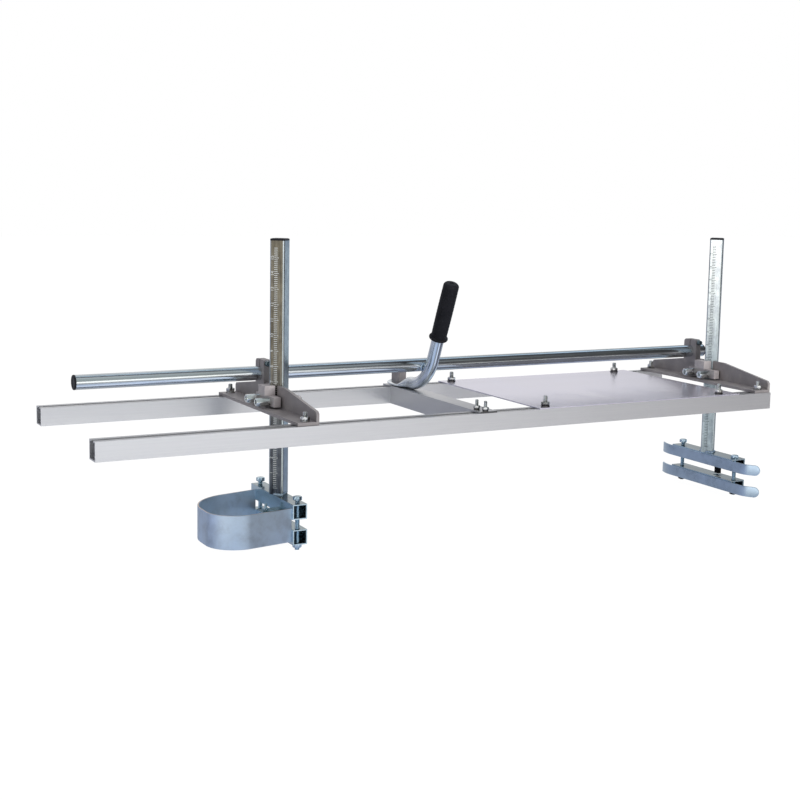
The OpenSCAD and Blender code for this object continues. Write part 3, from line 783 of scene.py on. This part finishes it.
def handle_welds(size):
    """Two beads, one on each side, that follow the push tube's front where the handle meets it."""
    angle = np.radians(np.linspace(160, 232, 24))
    reach = 1.0 + 9.5 * np.sqrt(1 - ((np.degrees(angle) - 196) / 38) ** 2)
    parts = []
    for side in (-1, 1):
        path = np.stack([
            HANDLE_X + side * reach,
            TUBE_AXIS[1] + TUBE_R * np.cos(angle),
            TUBE_AXIS[2] + TUBE_R * np.sin(angle),
        ], axis=-1)
        parts.append(bead(path, size, 1.3 * side))
    return joined(parts)


def tube_shape():
    """Open round tube along the rails: outer wall, ends and inner wall as one closed loop of rings."""
    wall, count = 2.0, 60
    run = np.linspace(0, 1, count)
    length = TUBE_END - TUBE_START
    outer = np.stack([np.full(count, TUBE_R), run * length], axis=-1)
    inner = np.stack([np.full(count, TUBE_R - wall), (1 - run) * length], axis=-1)
    profile = np.concatenate([outer, inner, outer[:1]])
    shape = loft(turned(profile, 64), close_ends=False)
    return at((TUBE_START, TUBE_AXIS[1], TUBE_AXIS[2]), shape, "x")


def tube_cap_shape(spot, axis_sign):
    """Pressed cap: a skirt, a round edge and a dished face."""
    profile = [(9.9, 10), (9.9, 0.0), (11.9, 0.0), (12.1, -0.6), (12.1, -2.0), (11.5, -2.8)]
    profile += [(9.5, -3.0), (8.8, -2.5), (0.3, -2.4)]
    points, faces = loft(turned(profile, 48))
    points = points * [1, 1, axis_sign]
    return at((spot, TUBE_AXIS[1], TUBE_AXIS[2]), (points, faces), "x")


class MILL_OT_handle(bpy.types.Operator):
    """Makes the push tube, its caps, the bent handle, its welds and the grip."""

    bl_idname = "mill.handle"
    bl_label = "Push tube and handle"

    def execute(self, context):
        size = context.scene.mill_sizes.weld_size / MM
        piece("push_tube_round", tube_shape(), "mill_zinc_tube", "frame", ["push_tube"], 50)
        caps = joined([tube_cap_shape(TUBE_START, 1), tube_cap_shape(TUBE_END, -1)])
        piece("push_tube_cap_pair", caps, "mill_cap", "frame", ["push_tube_caps"])
        piece("handle_bent_tube", handle_shape(), "mill_zinc_bent", "frame", ["push_handle"], 60)
        piece("handle_weld_beads", handle_welds(size * 0.8), "mill_zinc", "frame", (), 80)
        piece("handle_grip_moulded", grip_shape(), "mill_grip", "frame", ["handle_grip"], 50)
        return {"FINISHED"}


# Fasteners


def long_stud():
    """Long nut with a hollow end, stud and bolt head, made on the Z axis from the web's outer face."""
    face, length, hollow_r = -20.0, 25.0, 3.5
    end = face - length
    nut_heights = end + np.array([0.0, 0.6, 1.6, 23.4, 24.4, length])
    long_nut = hexagon(NUT_FLATS, nut_heights, [0.92, 1.02, 1.17, 1.17, 1.02, 0.92])
    hollow = turned([(4.1, end), (hollow_r, end + 0.6), (hollow_r, end + 7), (0.2, end + 8)], 48)[::-1]
    body = loft(np.concatenate([hollow, long_nut]))
    return joined([body, thread(BOLT_R, face - 2, 30.0), nut(NUT_FLATS, 6.0, 28.0)])


def head_bolt(low, under_head):
    """Hexagon bolt on the Z axis: domed head over a threaded shank."""
    heights = under_head + NUT_HEIGHT * np.array([0, 0.08, 0.8, 0.93, 1.0])
    head = loft(hexagon(NUT_FLATS, heights, [1.02, 1.17, 1.17, 1.04, 0.86]))
    return joined([thread(BOLT_R, low, under_head + 1), head])


def brace_bolt():
    """Small bolt through the brace's plate, with washer and nut."""
    radius, low, top, flats, high = 3.0, -4.2, 20.0, 10.0, 5.5
    return joined([
        thread(radius, low, top),
        washer(radius * 1.7, PLATE_TOP, WASHER),
        nut(flats, high, PLATE_TOP + WASHER),
    ])


def cross_bolt():
    """Cap screw through the tube clamp's ears: a hollow head on a washer, and a thin nut."""
    seat, washer_high = 18.0, 2.5
    low = seat + washer_high
    head = turned([
        (0.2, low + 2.5), (2.0, low + 2.5), (2.1, low + 4.3), (3.9, low + 4.5), (4.4, low + 4.0),
        (4.5, low), (2.4, low),
    ])
    return joined([
        loft(head[::-1]),
        washer(4.9, seat, washer_high),
        thread(2.5, -seat - 3.5, seat + 3.5),
        nut(7.6, 3.0, -seat - 3.0),
    ])


JAW_BOLT_Y = (96.0, 254.0)
BAR_BOLT_Y = (95.0, 250.0)
STUD_Y = (153.7, 196.3)
STUD_Z = 16.0
BOLT_BACK = 19.0
DECK_BOLT_X = (776.5, 1159.0)
BRACE_BOLTS = ((646.5, 25.2), (651.0, 4.8))
LEFT_POST_X = LEFT_WEB + POST_OUT
RIGHT_POST_X = RIGHT_WEB + POST_OUT
TUBE_BOLT_Z = 71.0
TUBE_BOLT_BACK = 2.35
STOP_BACK = 27.0
STOP_Y = 164.0


def fasteners(name, shapes, material, body, node):
    """A piece made of several fasteners, in place of one CAD node."""
    piece(name, joined(shapes), material, body, [node])


class MILL_OT_fasteners(bpy.types.Operator):
    """Makes every bolt, stud, nut and washer."""

    bl_idname = "mill.fasteners"
    bl_label = "Fasteners"

    def execute(self, context):
        deck_places = [(x, y, 0) for x in DECK_BOLT_X for y in (FRONT_SLOT, REAR_SLOT)]
        deck = [at(place, slot_bolt(2.0, turn=13 * k)) for k, place in enumerate(deck_places)]
        fasteners("deck_bolt_set", deck, "mill_bolt", "frame", "deck_bolts")
        brace = [at((x, y, 0), brace_bolt()) for x, y in BRACE_BOLTS]
        fasteners("brace_bolt_set", brace, "mill_bolt", "frame", "brace_bolts")
        self.bracket_sets()
        self.jaw_sets()
        return {"FINISHED"}

    def bracket_sets(self):
        """Rail bolts, clamp studs and tube clamp bolt of both brackets."""
        for side, web, play, body in (
            ("left", LEFT_WEB, SLIDE_GAP, "left_carriage"),
            ("right", RIGHT_WEB, 0.0, "frame"),
        ):
            slots = ((FRONT_SLOT, 8), (REAR_SLOT, 21))
            bolts = [at((web - BOLT_BACK, y, 0), slot_bolt(5.0, play, turn)) for y, turn in slots]
            fasteners(f"{side}_rail_bolt_set", bolts, "mill_bolt", body, f"{side}_bracket_bolts")
            studs = [at((web, y, STUD_Z + play), long_stud(), "x") for y in STUD_Y]
            fasteners(f"{side}_long_nut_set", studs, "mill_zinc_nut", body, f"{side}_clamp_studs")
            points, faces = at((web - TUBE_BOLT_BACK, -TUBE_AXIS[1], TUBE_BOLT_Z), cross_bolt(), "y")
            cross = [(points * [1, -1, 1], faces)]
            fasteners(f"{side}_cross_bolt", cross, "mill_zinc_shade", body, f"{side}_tube_bolt")

    def jaw_sets(self):
        """Jaw bolts, their nuts and the small stop bolt."""
        for side, x, pair, low, heads in (
            ("left", LEFT_POST_X, JAW_BOLT_Y, -220.0, (-138.0, -138.0)),
            ("right", RIGHT_POST_X, BAR_BOLT_Y, -214.5, (-143.0, -138.0)),
        ):
            bolts = [at((x, y, 0), head_bolt(low, under)) for y, under in zip(pair, heads)]
            upright = f"{side}_upright"
            fasteners(f"{side}_jaw_bolt_set", bolts, "mill_zinc_jaw", upright, f"{side}_jaw_bolts")
        for side, x, pair, low, metal in (
            ("left", LEFT_POST_X, JAW_BOLT_Y, -216.5, "mill_zinc"),
            ("right", RIGHT_POST_X, BAR_BOLT_Y, -213.5, "mill_dark"),
        ):
            nuts = [at((x, y, 0), nut(NUT_FLATS, NUT_HEIGHT, low), turn=11) for y in pair]
            fasteners(f"{side}_jaw_nut_set", nuts, metal, f"{side}_jaw", f"{side}_jaw_nuts")
        stop = joined([thread(2.5, -172, -156), nut(8.6, 4.5, -168), nut(9, 4.5, -175.5)])
        stop = [at((LEFT_POST_X - STOP_BACK, STOP_Y, 0), stop)]
        fasteners("nose_stop_bolt_set", stop, "mill_zinc_jaw", "left_upright", "nose_stop_bolt")


# Bent strips, welds, caps and rulers


def strip(plan, low, heights, wall, edge=0.6):
    """Upright strip along a plan line: a rounded rectangle, wall by height, carried along the line."""
    plan = np.asarray(plan, float)
    heights = np.asarray(heights, float)
    middle = low + heights.max() / 2
    path = np.column_stack([plan, np.full(len(plan), middle)])
    up = np.tile([0.0, 0.0, 1.0], (len(path), 1))
    across = np.cross(up, directions(path))
    unit = rounded_outline(wall, 2.0, edge, 0)[:, :2]
    side = np.sign(unit[:, 1])
    section = np.stack([
        np.broadcast_to(unit[:, 0], (len(path), len(unit))),
        (heights[:, None] / 2 - edge) * side + unit[:, 1] - side * (1 - edge),
    ], axis=-1)
    return loft(sweep(path, across, up, section))


BAND_WALL = 2.5
BAND_HEIGHT = 55.0
BAND_LOW = -205.0
SKID_WALL = 3.0
SKID_HEIGHT = 20.0
SKID_FACE = 1262.0
SKID_LOWS = (("upper", -165.0, "right_upright"), ("lower", -207.0, "right_jaw"))


def band_plan():
    """Middle line of the nose band: front leg, round corner, far side, wide rear arc, rear leg."""
    far, face, inset = 210.0, 342.5, BAND_WALL / 2
    front_r, front_y, front_tilt = 50.0, 126.3, 10.0
    rear_r, rear_y, rear_tilt = 85.0, 150.0, 12.7
    front = arc((far + front_r, front_y), front_r - inset, 270 + front_tilt, 180, 40)
    rear = arc((far + rear_r, rear_y), rear_r - inset, 180, 90 + rear_tilt, 50)
    start = front[0] + np.array([1, math.tan(math.radians(front_tilt))]) * (face - front[0][0])
    end = rear[-1] + np.array([1, math.tan(math.radians(rear_tilt))]) * (face - rear[-1][0])
    leg = np.linspace(0, 1, 6)[:-1, None]
    front_leg, rear_leg = start + (front[0] - start) * leg, end + (rear[-1] - end) * leg[::-1]
    return np.concatenate([front_leg, front, rear, rear_leg])


def skid_shape(low):
    """Thrust skid: straight middle, bent rear end, and a bent front tail whose tip is a full round."""
    far, inset, tail = SKID_FACE - SKID_WALL, SKID_WALL / 2, 19.0
    front_r, front_y, front_turn = 40.0, 62.0, 35.0
    rear_r, rear_y, rear_turn = 80.0, 265.0, 26.0
    front = arc((far + front_r, front_y), front_r - inset, 180 + front_turn, 180, 16)
    rear = arc((far + rear_r, rear_y), rear_r - inset, 180, 180 - rear_turn, 20)
    turn = math.radians(180 + front_turn)
    heading = np.array([-math.sin(turn), math.cos(turn)])
    along = tail - (tail - 0.05) * np.linspace(0, 1, 22)[:-1] ** 1.6
    tip = front[0] + heading * along[:, None]
    plan = np.concatenate([tip, front, rear])
    run = np.concatenate([[0], np.cumsum(np.linalg.norm(np.diff(plan, axis=0), axis=1))])
    r = SKID_HEIGHT / 2
    near = np.clip(1 - run / r, 0, 0.992)
    heights = SKID_HEIGHT * np.sqrt(1 - near**2)
    return strip(plan, low, heights, SKID_WALL)


POST = 25.4
POST_LOW = -143.0
POST_HIGH = 277.0


def post_tube_shape(x):
    """Open square tube standing corner first: rings of the outer wall, then of the inner wall."""
    wall, corner = 2.0, 3.0
    levels = [(POST_LOW, 0.0), (POST_HIGH, 0.0), (POST_HIGH, wall), (POST_LOW, wall), (POST_LOW, 0.0)]
    rings = np.stack([rounded_outline(POST - 2 * t, POST - 2 * t, corner - t, z, 8) for z, t in levels])
    return at((x, WIDTH_MID, 0), loft(rings, close_ends=False), turn=45)


def post_weld_shape(x, size, seed):
    """Two beads round the post's foot, each bent over one corner, on the clamp tube's top."""
    z = POST_LOW + 0.4
    corner = ((-12, 6.5), (-4, 14.5), (0, 17.6), (4, 14.5), (12, 6.5))
    return joined([
        bead([(x + along, WIDTH_MID + side * out, z) for along, out in corner], size, seed + side)
        for side in (-1, 1)
    ])


def post_cap_shape(x):
    """Moulded cap over a tube standing corner first: a rounded square with a soft edge and a low crown."""
    levels = [(-12, 21), (0, 21), (0, POST), (2.2, POST), (3.0, 24.4), (3.6, 21), (3.8, 10)]
    rings = np.stack([rounded_outline(size, size, size * 0.1, POST_HIGH + z) for z, size in levels])
    return at((x, WIDTH_MID, 0), loft(rings), turn=45)


def boxes(centres, half, axes):
    """Many small blocks at once: every corner is centre + sum of (+-half) along the three axes."""
    corner = np.array([[i, j, k] for i in (-1, 1) for j in (-1, 1) for k in (-1, 1)], float)
    offset = (corner[None] * half[:, None, :]) @ axes
    points = (centres[:, None, :] + offset).reshape(-1, 3)
    quads = np.array([[0, 1, 3, 2], [4, 6, 7, 5], [0, 4, 5, 1], [2, 3, 7, 6], [0, 2, 6, 4], [1, 5, 7, 3]])
    faces = (quads[None] + 8 * np.arange(len(centres))[:, None, None]).reshape(-1, 4)
    return points, faces.tolist()


POST_FACE = POST / 2
RULER_LOW = -132.0
RULER_HIGH = 268.0
INCH = 25.4
INCHES = 15
MARK_HALF = 0.48
MARK_RISE = 0.06
FACE_OUT = np.array([-1.0, -1.0, 0.0]) / math.sqrt(2)
FACE_ALONG = np.array([1.0, -1.0, 0.0]) / math.sqrt(2)
FACE_UP = np.array([0.0, 0.0, 1.0])
FACE_FRONT = np.array([0.0, -1.0, 0.0])


def face_centre(x):
    """Middle of the face that carries a post's ruler, at the rails' top and a hair off the metal."""
    return np.array([x, WIDTH_MID, 0.0]) + FACE_OUT * (POST_FACE + 0.02)


def ruler_marks(x, step, start):
    """Marks up a post's outer left face, longer at every whole inch."""
    z = np.arange(RULER_LOW, RULER_HIGH, step)
    count = np.rint((z - RULER_LOW) / step).astype(int)
    per_inch = max(int(round(INCH / step)), 1)
    length = np.where(count % per_inch == 0, 8.0, 6.0)
    centres = face_centre(x) + FACE_ALONG * (start + length / 2)[:, None] + FACE_UP * z[:, None]
    half = np.stack([np.full_like(z, MARK_RISE), length / 2, np.full_like(z, MARK_HALF)], axis=-1)
    return boxes(centres, half, np.stack([FACE_OUT, FACE_ALONG, FACE_UP]))


def number_mesh(text, size):
    """A plain number as (points, faces), flat and lying in its own plane, in millimetres."""
    curve = bpy.data.curves.new("number", "FONT")
    curve.body = text
    curve.size = size
    curve.align_x = "CENTER"
    curve.align_y = "CENTER"
    curve.extrude = MARK_RISE
    holder = bpy.data.objects.new("number", curve)
    bpy.context.scene.collection.objects.link(holder)
    bpy.context.view_layer.update()
    mesh = bpy.data.meshes.new_from_object(holder.evaluated_get(bpy.context.evaluated_depsgraph_get()))
    points = np.empty(len(mesh.vertices) * 3)
    mesh.vertices.foreach_get("co", points)
    faces = [list(face.vertices) for face in mesh.polygons]
    bpy.data.objects.remove(holder)
    bpy.data.curves.remove(curve)
    bpy.data.meshes.remove(mesh)
    return points.reshape(-1, 3), faces


def ruler_numbers(x, across, size):
    """Plain numbers beside the inch marks, reading upwards along the post."""
    frame_axes = np.stack([FACE_UP, -FACE_ALONG, FACE_OUT])
    parts = []
    for k in range(1, INCHES + 1):
        points, faces = number_mesh(str(k), size)
        spot = face_centre(x) + FACE_ALONG * across + FACE_UP * (RULER_LOW + INCH * k)
        parts.append((points @ frame_axes + spot, faces))
    return joined(parts)


class MILL_OT_strips(bpy.types.Operator):
    """Makes the nose band and both thrust skids."""

    bl_idname = "mill.strips"
    bl_label = "Nose band and skids"

    def execute(self, context):
        plan = band_plan()
        band = strip(plan, BAND_LOW, np.full(len(plan), BAND_HEIGHT), BAND_WALL)
        band = piece("nose_band_bent", band, "mill_zinc_band", "left_upright", ["nose_band"], 50)
        repaint(band, FACE_UP, "mill_zinc_edge")
        for name, low, body in SKID_LOWS:
            node = f"right_{name}_skid"
            piece(node + "_bent", skid_shape(low), "mill_zinc", body, [node], 50)
        return {"FINISHED"}


class MILL_OT_posts(bpy.types.Operator):
    """Makes the posts' welds, caps and rulers."""

    bl_idname = "mill.posts"
    bl_label = "Post details"

    def execute(self, context):
        sizes = context.scene.mill_sizes
        # The marks' start and the numbers' place across the face, and the numbers' size.
        for side, x, seed, mark, start, across, size in (
            ("left", LEFT_POST_X, 0.4, "mill_mark_pale", -4.6, -7.6, 7.5),
            ("right", RIGHT_POST_X, 2.1, "mill_mark_dark", -6.2, -8.2, 5.6),
        ):
            body = f"{side}_upright"
            weld = post_weld_shape(x, sizes.weld_size / MM, seed)
            piece(f"{side}_post_weld_bead", weld, "mill_zinc", body, [f"{side}_post_weld"], 80)
            cap = post_cap_shape(x)
            piece(f"{side}_post_cap_moulded", cap, "mill_cap", body, [f"{side}_post_cap"])
            piece(f"{side}_ruler_marks", ruler_marks(x, sizes.tick_step / MM, start), mark, body)
            piece(f"{side}_ruler_numbers", ruler_numbers(x, across, size), mark, body)
        return {"FINISHED"}


# Stage


# What metal mirrors, from straight down (0) over the horizon (0.5) to straight up (1).
# The front of the room is dark over the pale floor, with a soft light above; the back is pale.
FRONT_STOPS = [
    (0.0, (0.9, 0.98, 1.2)), (0.14, (1.0, 1.12, 1.38)), (0.26, (0.76, 0.84, 1.0)),
    (0.32, (0.38, 0.4, 0.45)), (0.36, (0.9, 0.9, 0.92)), (0.43, (0.9, 0.9, 0.91)),
    (0.46, (0.22, 0.22, 0.24)), (0.55, (0.09, 0.09, 0.095)), (0.73, (0.12, 0.125, 0.13)),
    (0.79, (0.34, 0.37, 0.38)), (0.9, (0.5, 0.55, 0.58)), (1.0, (0.9, 0.97, 1.03)),
]

# The same for the left part of the front, where a bright panel stands on the horizon.
LEFT_STOPS = [
    (0.0, (0.36, 0.44, 0.62)), (0.14, (0.44, 0.53, 0.72)), (0.26, (0.46, 0.52, 0.62)),
    (0.35, (0.3, 0.32, 0.36)), (0.4, (0.95, 0.97, 0.99)), (0.47, 1.2), (0.51, 1.6), (0.57, 1.6),
    (0.61, (0.34, 0.37, 0.38)), (0.84, (0.36, 0.41, 0.42)), (0.96, (0.4, 0.46, 0.49)),
    (1.0, (0.8, 0.87, 0.93)),
]

LEFT_SHARE = [
    (0.0, 1.0), (0.305, 1.0), (0.33, 0.0),
]

BACK_STOPS = [
    (0.0, (0.62, 0.63, 0.68)), (0.46, (0.84, 0.84, 0.87)), (0.497, (0.38, 0.4, 0.46)),
    (0.52, (0.8, 0.8, 0.84)), (0.58, (1.0, 0.99, 1.0)), (0.74, (0.97, 0.97, 0.98)),
    (0.88, (0.9, 0.96, 1.04)), (1.0, (0.9, 0.97, 1.03)),
]

# Round about, from the left (0) over front (0.25), right (0.5) and back (0.75): first how much
# of the front is seen, then how bright the room's walls are.
FRONT_SHARE = [
    (0.0, 0.25), (0.05, 1.0), (0.43, 1.0), (0.5, 0.35), (0.56, 0.0), (0.94, 0.0),
]

WALL_STOPS = [
    (0.0, (0.7, 0.73, 0.8)), (0.035, 1.0), (0.13, 1.0), (0.17, (0.72, 0.74, 0.78)),
    (0.235, (0.72, 0.74, 0.78)), (0.275, 1.0), (0.315, 1.0), (0.348, (0.8, 0.79, 0.79)),
    (0.378, (0.22, 0.21, 0.215)), (0.455, (0.1, 0.1, 0.11)), (0.51, (0.12, 0.13, 0.15)),
    (0.54, (0.7, 0.83, 0.95)), (0.575, (0.7, 0.83, 0.95)), (0.6, (0.3, 0.33, 0.35)),
    (0.625, (0.34, 0.36, 0.38)), (0.65, 0.68), (0.71, 0.68), (0.78, (0.52, 0.53, 0.56)),
    (0.85, (0.36, 0.38, 0.44)), (0.94, (0.44, 0.48, 0.6)),
]


class MILL_OT_stage(bpy.types.Operator):
    """Makes the floor, the lights, the world and the camera."""

    bl_idname = "mill.stage"
    bl_label = "Stage"

    def execute(self, context):
        scene = context.scene
        scene.view_settings.view_transform = "Standard"
        self.floor(scene)
        self.world(scene)
        self.lamps(scene)
        self.camera(scene)
        return {"FINISHED"}

    def floor(self, scene):
        """Wide pale floor: white to the camera and to metal, with a trace of the object's shadow."""
        half = 12.0
        mesh = bpy.data.meshes.new("floor")
        corners = [(-half, -half, 0), (half, -half, 0), (half, half, 0), (-half, half, 0)]
        mesh.from_pydata(corners, [], [(0, 1, 2, 3)])
        floor = bpy.data.objects.new("floor", mesh)
        scene.collection.objects.link(floor)
        n = Finish("stage_floor", Base_Color=(0.86, 0.86, 0.86, 1), Roughness=0.9)
        path = n.new("LightPath")
        share = n.new("Math")
        share.operation = "MULTIPLY"
        share.inputs[1].default_value = 0.92
        n.join(path, "Is Camera Ray", share, 0)
        white, clear = n.new("Emission", Strength=1.06), n.new("BsdfTransparent")
        seen = n.choose(share.outputs[0], n.shader.outputs[0], white.outputs[0])
        seen = n.choose(path.outputs["Is Glossy Ray"], seen, clear.outputs[0])
        n.tree.links.new(seen, n.output.inputs["Surface"])
        mesh.materials.append(n.owner)

    def world(self, scene):
        """White to the camera; to metal, a soft room: pale floor, thin dark horizon, panels round about."""
        scene.world = bpy.data.worlds.new("studio")
        n = Nodes(scene.world, "OutputWorld")
        split, up = n.new("SeparateXYZ"), n.new("MapRange", From_Min=-1)
        n.join(n.place, "Generated", split, 0)
        n.join(split, "Z", up, "Value")
        around = n.new("TexGradient")
        around.gradient_type = "RADIAL"
        n.join(n.place, "Generated", around, "Vector")
        front = n.mix(n.ramp(around, LEFT_SHARE), n.ramp(up, FRONT_STOPS), n.ramp(up, LEFT_STOPS))
        seen = n.mix(n.ramp(around, FRONT_SHARE), n.ramp(up, BACK_STOPS), front)
        seen = n.mix(1.0, seen, n.ramp(around, WALL_STOPS), "MULTIPLY")
        room = n.new("Background", Strength=1.25)
        n.tree.links.new(colour_out(seen), room.inputs["Color"])
        soft = n.new("Background", Color=(0.97, 0.98, 1, 1), Strength=0.50)
        white = n.new("Background", Color=(1, 1, 1, 1))
        path = n.new("LightPath")
        light = n.choose(path.outputs["Is Glossy Ray"], soft.outputs[0], room.outputs[0])
        light = n.choose(path.outputs["Is Camera Ray"], light, white.outputs[0])
        n.tree.links.new(light, n.output.inputs["Surface"])

    def lamps(self, scene):
        """One large soft lamp at the front, a little above and to the right, and a weak one above."""
        for name, spot, size, power in (
            ("key", (0.9, -2.9, 1.7), 2.0, 108.0),
            ("top", (-0.4, 0.2, 3.0), 2.4, 16.0),
        ):
            light = bpy.data.lights.new(name, "AREA")
            light.size = size
            light.energy = power
            lamp = bpy.data.objects.new(name, light)
            lamp.location = spot
            lamp.visible_glossy = False
            aim = Vector((0, 0, 0.2)) - Vector(spot)
            lamp.rotation_euler = aim.to_track_quat("-Z", "Y").to_euler()
            scene.collection.objects.link(lamp)

    def camera(self, scene):
        """Camera at the photo's place: heading, pitch and roll found from the frame's straight edges."""
        heading, pitch, roll = (math.radians(v) for v in (29.302, 7.231, 1.177))
        ahead = Vector((
            math.sin(heading) * math.cos(pitch), math.cos(heading) * math.cos(pitch), -math.sin(pitch)
        ))
        right = Vector((math.cos(heading), -math.sin(heading), 0))
        up = right.cross(ahead)
        right, up = (
            right * math.cos(roll) + up * math.sin(roll),
            up * math.cos(roll) - right * math.sin(roll),
        )
        data = bpy.data.cameras.new("camera")
        data.sensor_width = 36.0
        data.lens = 61.74
        data.shift_x = -0.0403
        data.shift_y = -0.0501
        data.clip_start = 0.05
        data.clip_end = 50
        camera = bpy.data.objects.new("camera", data)
        place = to_model((-521.9, -1902.3, 370.2))
        camera.matrix_world = Matrix.Translation(place) @ Matrix((right, up, -ahead)).transposed().to_4x4()
        scene.collection.objects.link(camera)
        scene.camera = camera


class MILL_PT_panel(bpy.types.Panel):
    """Lists the mill's steps and settings in the sidebar."""

    bl_label = "Chainsaw mill"
    bl_space_type = "VIEW_3D"
    bl_region_type = "UI"
    bl_category = "Mill"

    def draw(self, context):
        for group in (context.scene.mill_sizes, context.scene.mill_colours):
            for name in group.__annotations__:
                self.layout.prop(group, name)
        for operator in OPERATORS:
            self.layout.operator(operator.bl_idname)


OPERATORS = (
    MILL_OT_frame,
    MILL_OT_clamps,
    MILL_OT_jaws,
    MILL_OT_handle,
    MILL_OT_fasteners,
    MILL_OT_strips,
    MILL_OT_posts,
    MILL_OT_stage,
)


def register():
    for item in (MillSizes, MillColours, *OPERATORS, MILL_PT_panel):
        bpy.utils.register_class(item)
    bpy.types.Scene.mill_sizes = bpy.props.PointerProperty(type=MillSizes)
    bpy.types.Scene.mill_colours = bpy.props.PointerProperty(type=MillColours)


def unregister():
    del bpy.types.Scene.mill_colours
    del bpy.types.Scene.mill_sizes
    for item in reversed((MillSizes, MillColours, *OPERATORS, MILL_PT_panel)):
        bpy.utils.unregister_class(item)


def main():
    """Builds the whole scene."""
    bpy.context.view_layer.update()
    register()
    for operator in OPERATORS:
        group, name = operator.bl_idname.split(".")
        getattr(getattr(bpy.ops, group), name)()


if __name__ == "__main__":
    main()
